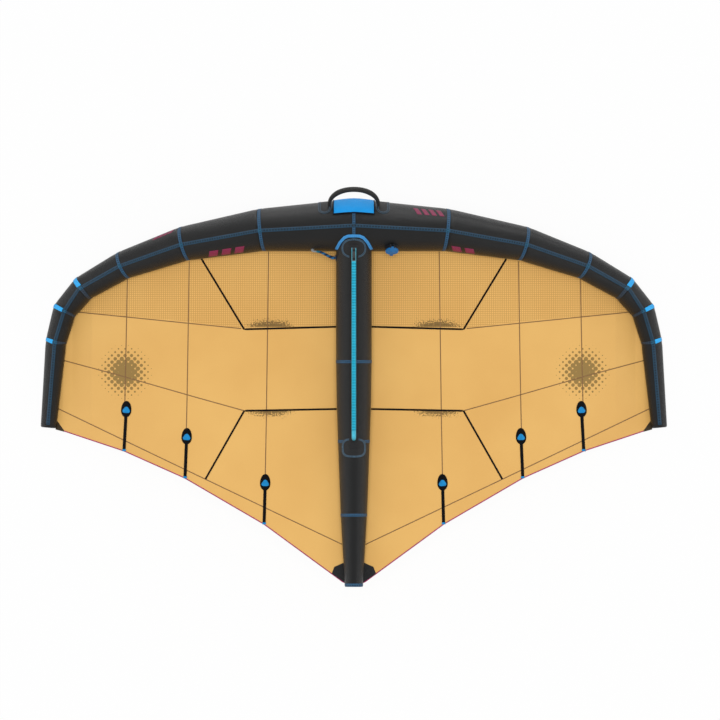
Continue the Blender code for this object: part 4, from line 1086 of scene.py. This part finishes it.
def strut_patch(name, centre_y, half_x, half_y, power):
    """A patch and its ring of stitches. With power 2 it is an oval, and more is squarer."""
    def spot(turn, inset, share, lift):
        x = (half_x - inset) * share * signed_power(cos(turn), 2 / power)
        y = (half_y - inset) * share * signed_power(sin(turn), 2 / power)
        return upper_skin(x, centre_y + y, lift)

    def patch(u, v):
        return spot(tau * u, 0.0, v, BOOM_PATCH_LIFT)

    def ring(u, v):
        return spot(tau * u, STITCH_INSET + PATCH_STITCH * v, 1.0, STITCH_LIFT)

    for piece_name, steps, place, width, material in (
        (name, (64, 12), patch, half_y, patch_cloth),
        (f"{name}_stitches", (96, 3), ring, PATCH_STITCH, patch_stitches),
    ):
        size = (tau * half_x, width)
        piece = laid_sheet(piece_name, steps, place, size, BOOM_PATCH_THICKNESS, UP, closed=True)
        fit(piece, material, "casing")


strut_patch("front_boom_patch", FRONT_PATCH_Y, 0.0625, 0.0490, 2.3)
strut_patch("rear_boom_patch", REAR_PATCH_Y, 0.0610, 0.0480, 3.2)


# Boom: a straight tube with a dimpled turquoise grip moulded on, forked at the front over
# the bracket's grey tongue, where a cross pin holds it, and turned down at the rear into the
# saddle. Only the grip is turned anew; the other pieces keep their built shapes.
TURQUOISE = (0.012, 0.470, 0.680)
TURQUOISE_PALE = (0.025, 0.530, 0.740)
TURQUOISE_MOULDING = (0.060, 0.560, 0.760)
# Painted shade: the dimples' darker colour stands in for the shade that falls inside them.
DIMPLE_PAINTED_SHADE = (0.004, 0.270, 0.430)
DIMPLE_PITCH = 0.0135
DIMPLE_ROWS = 8
DIMPLE_ROUND, DIMPLE_ALONG = 0.38, 0.34
DIMPLE_DEPTH = 0.0008
TONGUE_GREY = (0.050, 0.054, 0.056)
TONGUE_SIZE = (0.0126, 0.0380, 0.0060)
TONGUE_MIDDLE, TONGUE_TOP = 0.6480, 0.5474
LINER_HALF, LINER_END = 0.0084, 0.6150
FLAT_ANGLE = radians(2)
EDGE_ANGLE = radians(35)
CREASE_ANGLE = radians(40)
turquoise_moulding = moulded("turquoise_moulding", TURQUOISE_MOULDING, 0.42)
bracket_black = moulded("bracket_black", (0.012, 0.012, 0.013), 0.5)
tongue_grey = moulded("tongue_grey", TONGUE_GREY, 0.5)
pin_dark = moulded("pin_dark_steel", (0.10, 0.10, 0.11), 0.35, metallic=1.0)


def grip_finish(axis_height):
    """Turquoise rubber with rows of oval dimples round the grip, each coloured darker inside as painted
    shade.
    """
    material = plain_finish("turquoise_grip", TURQUOISE, 0.5, Specular_IOR_Level=0.3)
    x, y, z, place = pattern_of(material, "Object")
    row = reckon("ARCTAN2", x, z - axis_height) * (DIMPLE_ROWS / tau) + 0.5
    a = (reckon("FRACT", row) - 0.5) / DIMPLE_ROUND
    b = (reckon("FRACT", y / DIMPLE_PITCH) - 0.5) / DIMPLE_ALONG
    dimple = a * a + b * b < 1.0
    pale = mixed(cloudy(place, 30.0), TURQUOISE, TURQUOISE_PALE)
    # Inside each dimple the rubber takes the painted shade colour, and the dimple is also bumped down.
    return dressed(material, mixed(dimple, pale, DIMPLE_PAINTED_SHADE), 1.0 - dimple, DIMPLE_DEPTH)


def fork_finish():
    """Turquoise moulding with a dark liner in the fork's slot."""
    material = moulded("turquoise_fork", TURQUOISE_MOULDING, 0.42)
    colour = material.node_tree.nodes["Principled BSDF"].inputs["Base Color"]
    x, y, _, _ = pattern_of(material, "Object")
    lined = (abs(x) < LINER_HALF) * (y > LINER_END)
    feed(mixed(lined, Field(colour.links[0].from_socket), TONGUE_GREY), colour)
    return material


def rounded(piece, width):
    """Rounds a piece's sharp edges a little and shades the rest smooth."""
    apply(piece, "BEVEL", width=width, segments=2, limit_method="ANGLE", angle_limit=EDGE_ANGLE)
    bpy.ops.object.shade_smooth_by_angle(angle=CREASE_ANGLE)


def refined(node, name, width=0.0007):
    """A copy of a built solid with its triangles merged into faces and its edges rounded."""
    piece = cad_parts[node].copy()
    piece.data = piece.data.copy()
    piece.name = name
    for key in list(piece.keys()):
        del piece[key]
    piece.parent = None
    scene.collection.objects.link(piece)
    close_up(piece, FLAT_ANGLE)
    rounded(piece, width)
    return piece


def just_added(name, width):
    """The piece that was just added, with its place and size worked into it and its edges rounded."""
    piece = bpy.context.object
    piece.name = name
    bpy.ops.object.transform_apply(location=True, rotation=True, scale=True)
    rounded(piece, width)
    return piece


grip_low, grip_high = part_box("boom_grip")
grip_middle = (grip_low + grip_high) / 2
bpy.ops.mesh.primitive_cylinder_add(
    vertices=72,
    radius=(grip_high.x - grip_low.x) / 2,
    depth=grip_high.y - grip_low.y,
    location=grip_middle,
    rotation=(pi / 2, 0, 0),
)
fit(just_added("grip_tube", 0.0012), grip_finish(grip_middle.z), "boom", "boom_grip", body="boom")
fit(refined("boom_fork", "boom_fork_end"), fork_finish(), "boom", "boom_fork", body="boom")
fit(refined("boom_rear_leg", "boom_rear_bend"), turquoise_moulding, "boom", "boom_rear_leg", body="boom")
fit(refined("boom_front_bracket", "front_bracket"), bracket_black, "fitting", "boom_front_bracket")
fit(refined("boom_rear_saddle", "rear_saddle"), bracket_black, "fitting", "boom_rear_saddle")
fit(refined("boom_pivot_pin", "boom_pin", 0.0004), pin_dark, "pin", "boom_pivot_pin")
tongue_place = (0, TONGUE_MIDDLE, TONGUE_TOP - TONGUE_SIZE[2] / 2)
bpy.ops.mesh.primitive_cube_add(size=1.0, location=tongue_place, scale=TONGUE_SIZE)
fit(just_added("bracket_tongue_cover", 0.0010), tongue_grey, "fitting")


# Front handle: a loop of black webbing rolled round a soft core, thick at its crown and
# thin where it is sewn to the anchor patches. It flops about its two feet.
HANDLE_FOOT = Vector((0.1200, 0.889151, 0.442691))
HANDLE_LEAN = radians(37.5)
HANDLE_WAY = Vector((0, cos(HANDLE_LEAN), sin(HANDLE_LEAN)))
HANDLE_STAND = 0.0948
HANDLE_POWER = 2 / 2.1
HANDLE_END, HANDLE_CROWN = 0.0078, 0.0128
HANDLE_FULLNESS = 1.3
HANDLE_TAIL = 0.04
HANDLE_LENGTH = 0.34
webbing = woven("black_webbing", (0.014, 0.013, 0.012), 0.0024, roughness=0.55)


def handle_centre(turn):
    """Place on the loop's middle line, from its right foot to its left over half a turn."""
    out = HANDLE_FOOT.x * signed_power(cos(turn), HANDLE_POWER)
    rise = HANDLE_STAND * max(sin(turn), 0.0) ** HANDLE_POWER
    return Vector((out, HANDLE_FOOT.y, HANDLE_FOOT.z)) + HANDLE_WAY * rise


def handle_place(u, v):
    turn = pi * min(max((u - HANDLE_TAIL) / (1 - 2 * HANDLE_TAIL), 0.0), 1.0)
    centre = handle_centre(turn)
    along = (handle_centre(min(turn + 0.01, pi)) - handle_centre(max(turn - 0.01, 0.0))).normalized()
    across = Vector((1, 0, 0)).cross(HANDLE_WAY)
    outward = across.cross(along)
    radius = HANDLE_END + (HANDLE_CROWN - HANDLE_END) * min(1.0, HANDLE_FULLNESS * sin(turn))
    tail = max(HANDLE_TAIL - u, u - 1 + HANDLE_TAIL) / HANDLE_TAIL
    if tail > 0:
        centre = centre - HANDLE_WAY * HANDLE_END * sin(tail * pi / 2)
        radius *= cos(tail * pi / 2)
    return centre + radius * (outward * cos(tau * v) + across * sin(tau * v))


loop_size = (HANDLE_LENGTH, tau * HANDLE_CROWN)
handle = laid_grid("front_handle_loop", (120, 24), handle_place, loop_size)
close_up(handle)
fit(handle, webbing, "webbing", "front_handle", body="handle")


# Handle pad: a blue cushion on the tube between the handle's feet. Black binding holds its
# two sides and its rear edge, and it bends with the casing at the middle seam.
PAD_TOP, PAD_BOTTOM = radians(-7.5), radians(62)
PAD_HALF = 0.0965
PAD_GIRTH = 0.155
PAD_LOW, PAD_PUFF = 0.0032, 0.0026
PAD_THICKNESS = PAD_LOW - 0.0003
PAD_LOOKS = Vector((0, 1, 0.4))
BINDING_WIDTH = 0.0058
BINDING_LIFT = 0.0034
pad_blue = woven("pad_blue_cloth", (0.008, 0.400, 1.0), 0.0018, roughness=0.6, gloss=0.3, shade=0.88)
bound_edge = woven("pad_binding_black", (0.002, 0.002, 0.003), 0.0012, gloss=0.15)
middle_run = tube[1][0].x


def pad_place(u, v, lift):
    joint = PAD_HALF * (2 * u - 1) / middle_run
    return tube_point(joint, PAD_TOP + (PAD_BOTTOM - PAD_TOP) * v, lift)


def pad_crowned(u, v):
    """Place on the cushion, which is puffed up between its edges."""
    puff = PAD_PUFF * (1 - abs(2 * u - 1) ** 6) * (1 - abs(2 * v - 1) ** 4)
    return pad_place(u, v, PAD_LOW + puff)


pad = laid_sheet("handle_pad", (60, 40), pad_crowned, (2 * PAD_HALF, PAD_GIRTH), PAD_THICKNESS, PAD_LOOKS)
fit(pad, pad_blue, "pad", "front_handle_pad")

left_rim = [(0.0, i / 20) for i in range(20)]
rear_rim = [(i / 30, 1.0) for i in range(30)]
right_rim = [(1.0, 1 - i / 20) for i in range(21)]
rim = [pad_place(u, v, BINDING_LIFT) for u, v in left_rim + rear_rim + right_rim]
fit(round_cord("handle_pad_binding", BINDING_WIDTH, rim), bound_edge, "pad")


# Handle anchors: a patch of casing cloth under each handle foot, round towards the strut
# and open towards the front, with two rows of grey-blue stitching along its rim.
ANCHOR_OUT = 0.1366
ANCHOR_RADIUS = 0.0315
ANCHOR_ANGLE = radians(45)
ANCHOR_FRONT = radians(4)
ANCHOR_ARC = tube[0][3]
ANCHOR_RUN = (ANCHOR_ANGLE - ANCHOR_FRONT) * ANCHOR_ARC
ANCHOR_LIFT, ANCHOR_THICKNESS = 0.0016, 0.0014
ANCHOR_LOOKS = Vector((0, 1, 0.6))
ROW_WIDTH = 0.0034
ROW_LIFT, ROW_THICKNESS = 0.0024, 0.0007
ROW_INSETS = (("outer", 0.0020), ("inner", 0.0095))


def anchor_point(side, across, up, lift):
    """Place by metres across and round the tube from the round end's centre."""
    return tube_point(side * (ANCHOR_OUT + across) / middle_run, ANCHOR_ANGLE + up / ANCHOR_ARC, lift)


def anchor(side, word):
    """The patch under one foot."""
    def place(u, v):
        turn = pi * (u - 0.5)
        up = (ANCHOR_RADIUS * cos(turn) + ANCHOR_RUN) * v - ANCHOR_RUN
        return anchor_point(side, ANCHOR_RADIUS * sin(turn), up, ANCHOR_LIFT)

    size = (2 * ANCHOR_RADIUS, ANCHOR_RUN + ANCHOR_RADIUS)
    piece = laid_sheet(f"handle_anchor_{word}", (40, 16), place, size, ANCHOR_THICKNESS, ANCHOR_LOOKS)
    fit(piece, patch_cloth, "webbing", f"front_handle_anchor_{word}")


def anchor_row(side, word, row, inset):
    """One row of stitches: up one side, round the end and down the other side."""
    reach = ANCHOR_RADIUS - inset
    length = 2 * ANCHOR_RUN + pi * reach

    def place(u, v):
        run, width = u * length, reach + (v - 0.5) * ROW_WIDTH
        if run < ANCHOR_RUN:
            return anchor_point(side, -width, run - ANCHOR_RUN, ROW_LIFT)
        if run > length - ANCHOR_RUN:
            return anchor_point(side, width, length - ANCHOR_RUN - run, ROW_LIFT)
        turn = (run - ANCHOR_RUN) / reach
        return anchor_point(side, -width * cos(turn), width * sin(turn), ROW_LIFT)

    name = f"handle_anchor_{row}_row_{word}"
    piece = laid_sheet(name, (90, 2), place, (length, PATCH_STITCH), ROW_THICKNESS, ANCHOR_LOOKS)
    fit(piece, patch_stitches, "webbing")


for side, word in SIDES:
    anchor(side, word)
    for row, inset in ROW_INSETS:
        anchor_row(side, word, row, inset)


# Inflation valve: a dark flanged base glued through the casing, a teal screw-in insert and
# a hinged blue cap that clips over it.
valve_dark = moulded("valve_base_dark", (0.010, 0.014, 0.020), 0.45)
valve_teal = moulded("valve_insert_teal", (0.012, 0.060, 0.110), 0.4)
cap_blue = moulded("valve_cap_blue", (0.003, 0.190, 0.540), 0.5)
fit(refined("valve_base", "valve_collar"), valve_dark, "fitting", "valve_base")
plug = refined("valve_insert", "valve_plug_insert")
fit(plug, valve_teal, "valve_insert", "valve_insert", body="valve_plug")
fit(refined("valve_cap", "valve_lid_cap", 0.0012), cap_blue, "valve_cap", "valve_cap", body="valve_lid")


# Inflation hose: a short ribbed blue hose with a twisted dark stripe, from a pale elbow on
# the leading edge to a dark port on the strut. A teal collar clamps it on the elbow.
HOSE_BLUE, HOSE_DARK = (0.014, 0.150, 0.360), (0.006, 0.022, 0.060)
HOSE_SLANT = -2.0
HOSE_TWIST = 0.045
HOSE_RIB, HOSE_RIB_RAISE = 0.0035, 0.0004
HOSE_PUFF = 0.0016
HOSE_REST, HOSE_PULLED, HOSE_PULL = -0.105, -0.178, 0.40
ELBOW_SEAT = 0.6844
COLLAR_RADIUS, COLLAR_LENGTH = 0.0092, 0.013
COLLAR_INSET = 0.002
hose_teal = moulded("hose_collar_teal", (0.010, 0.180, 0.240), 0.4)
elbow_pale = moulded("elbow_pale", (0.30, 0.32, 0.33), 0.45)
port_dark = moulded("port_dark_blue", (0.010, 0.045, 0.110), 0.45)


def hose_finish():
    """Blue hose with a twisted dark stripe and fine ribs."""
    material = plain_finish("hose_twisted_blue", HOSE_BLUE, 0.45)
    x, y, _, place = pattern_of(material, "Object")
    stripe = ripple(x + y * HOSE_SLANT, HOSE_TWIST) > 0.1
    worn = reckon("MULTIPLY", stripe, cloudy(place, 90.0) + 0.7, clamp=True)
    return dressed(material, mixed(worn, HOSE_BLUE, HOSE_DARK), ripple(x, HOSE_RIB), HOSE_RIB_RAISE)


def pulled_in(piece):
    """Draws the elbow's end of the hose closer to the leading edge, as the air pressure does."""
    for vertex in piece.data.vertices:
        share = min(max((HOSE_REST - vertex.co.x) / (HOSE_REST - HOSE_PULLED), 0.0), 1.0)
        vertex.co.y += HOSE_PULL * share * (ELBOW_SEAT - vertex.co.y)
    return piece


hose = pulled_in(refined("inflation_hose", "air_hose", 0.0003))
apply(hose, "DISPLACE", strength=HOSE_PUFF, mid_level=0.0)
apply(hose, "SUBSURF", levels=1, render_levels=1)
bpy.ops.object.shade_smooth()
fit(hose, hose_finish(), "hose", "inflation_hose")

hose_points = loose("inflation_hose")
hose_runs = hose_points[:, 0] - hose_points[:, 0].min()
near_end, next_ring = (Vector(hose_points[hose_runs < reach].mean(axis=0)) for reach in (0.004, 0.020))
collar_way = (next_ring - near_end).normalized()
bpy.ops.mesh.primitive_cylinder_add(
    vertices=40,
    radius=COLLAR_RADIUS,
    depth=COLLAR_LENGTH,
    location=near_end + collar_way * COLLAR_INSET,
    rotation=collar_way.to_track_quat("Z", "Y").to_euler(),
)
fit(pulled_in(just_added("hose_collar", 0.0012)), hose_teal, "hose_fitting")
fit(pulled_in(refined("hose_elbow", "elbow_fitting", 0.0004)), elbow_pale, "hose_fitting", "hose_elbow")
fit(refined("hose_strut_port", "strut_port", 0.0004), port_dark, "hose_fitting", "hose_strut_port")


# Bladders: milky polyurethane film, blown up inside the casings. The long one follows the
# leading edge from tip to tip, and a straight one fills the strut.
BLADDER_GAP = 0.0045
BLADDER_END = TIP_END - 0.04
BLADDER_SIZE = (0.8, 3.4)
FILM, FILM_DEEP, FILM_PALE = (0.35, 0.50, 0.62), (0.30, 0.44, 0.56), (0.38, 0.54, 0.66)
FILM_CREASE = 0.0003
strut_low, strut_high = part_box("strut_bladder")


def bladder_film():
    """Milky film with faint clouds and soft creases."""
    material = plain_finish("bladder_film", FILM, 0.25, Transmission_Weight=0.4)
    *_, place = pattern_of(material, "Object")
    milky = mixed(cloudy(place, 12.0), FILM_DEEP, FILM_PALE)
    return dressed(material, milky, cloudy(place, 60.0), FILM_CREASE)


def rounded_end(v):
    """Share of the full radius, from nothing at both ends to one."""
    return min(1.0, (1 - abs(2 * v - 1)) * 30) ** 0.5


def long_bladder(u, v):
    joint = (2 * v - 1) * BLADDER_END
    skin = tube_point(joint, tau * u, -BLADDER_GAP)
    core = (tube_point(joint, 0.0) + tube_point(joint, pi)) / 2
    return core.lerp(skin, rounded_end(v))


def strut_bladder(u, v):
    y = strut_high.y + (strut_low.y - strut_high.y) * v
    skin = strut_point(y, tau * u, -BLADDER_GAP)
    return Vector((0, y, strut_at(y)[0])).lerp(skin, rounded_end(v))


film = bladder_film()
for name, place, steps, node in (
    ("long_bladder", long_bladder, (64, 240), "le_bladder"),
    ("strut_bladder_skin", strut_bladder, (64, 60), "strut_bladder"),
):
    bladder = laid_grid(name, steps, place, BLADDER_SIZE)
    close_up(bladder)
    fit(bladder, film, "bladder", node)
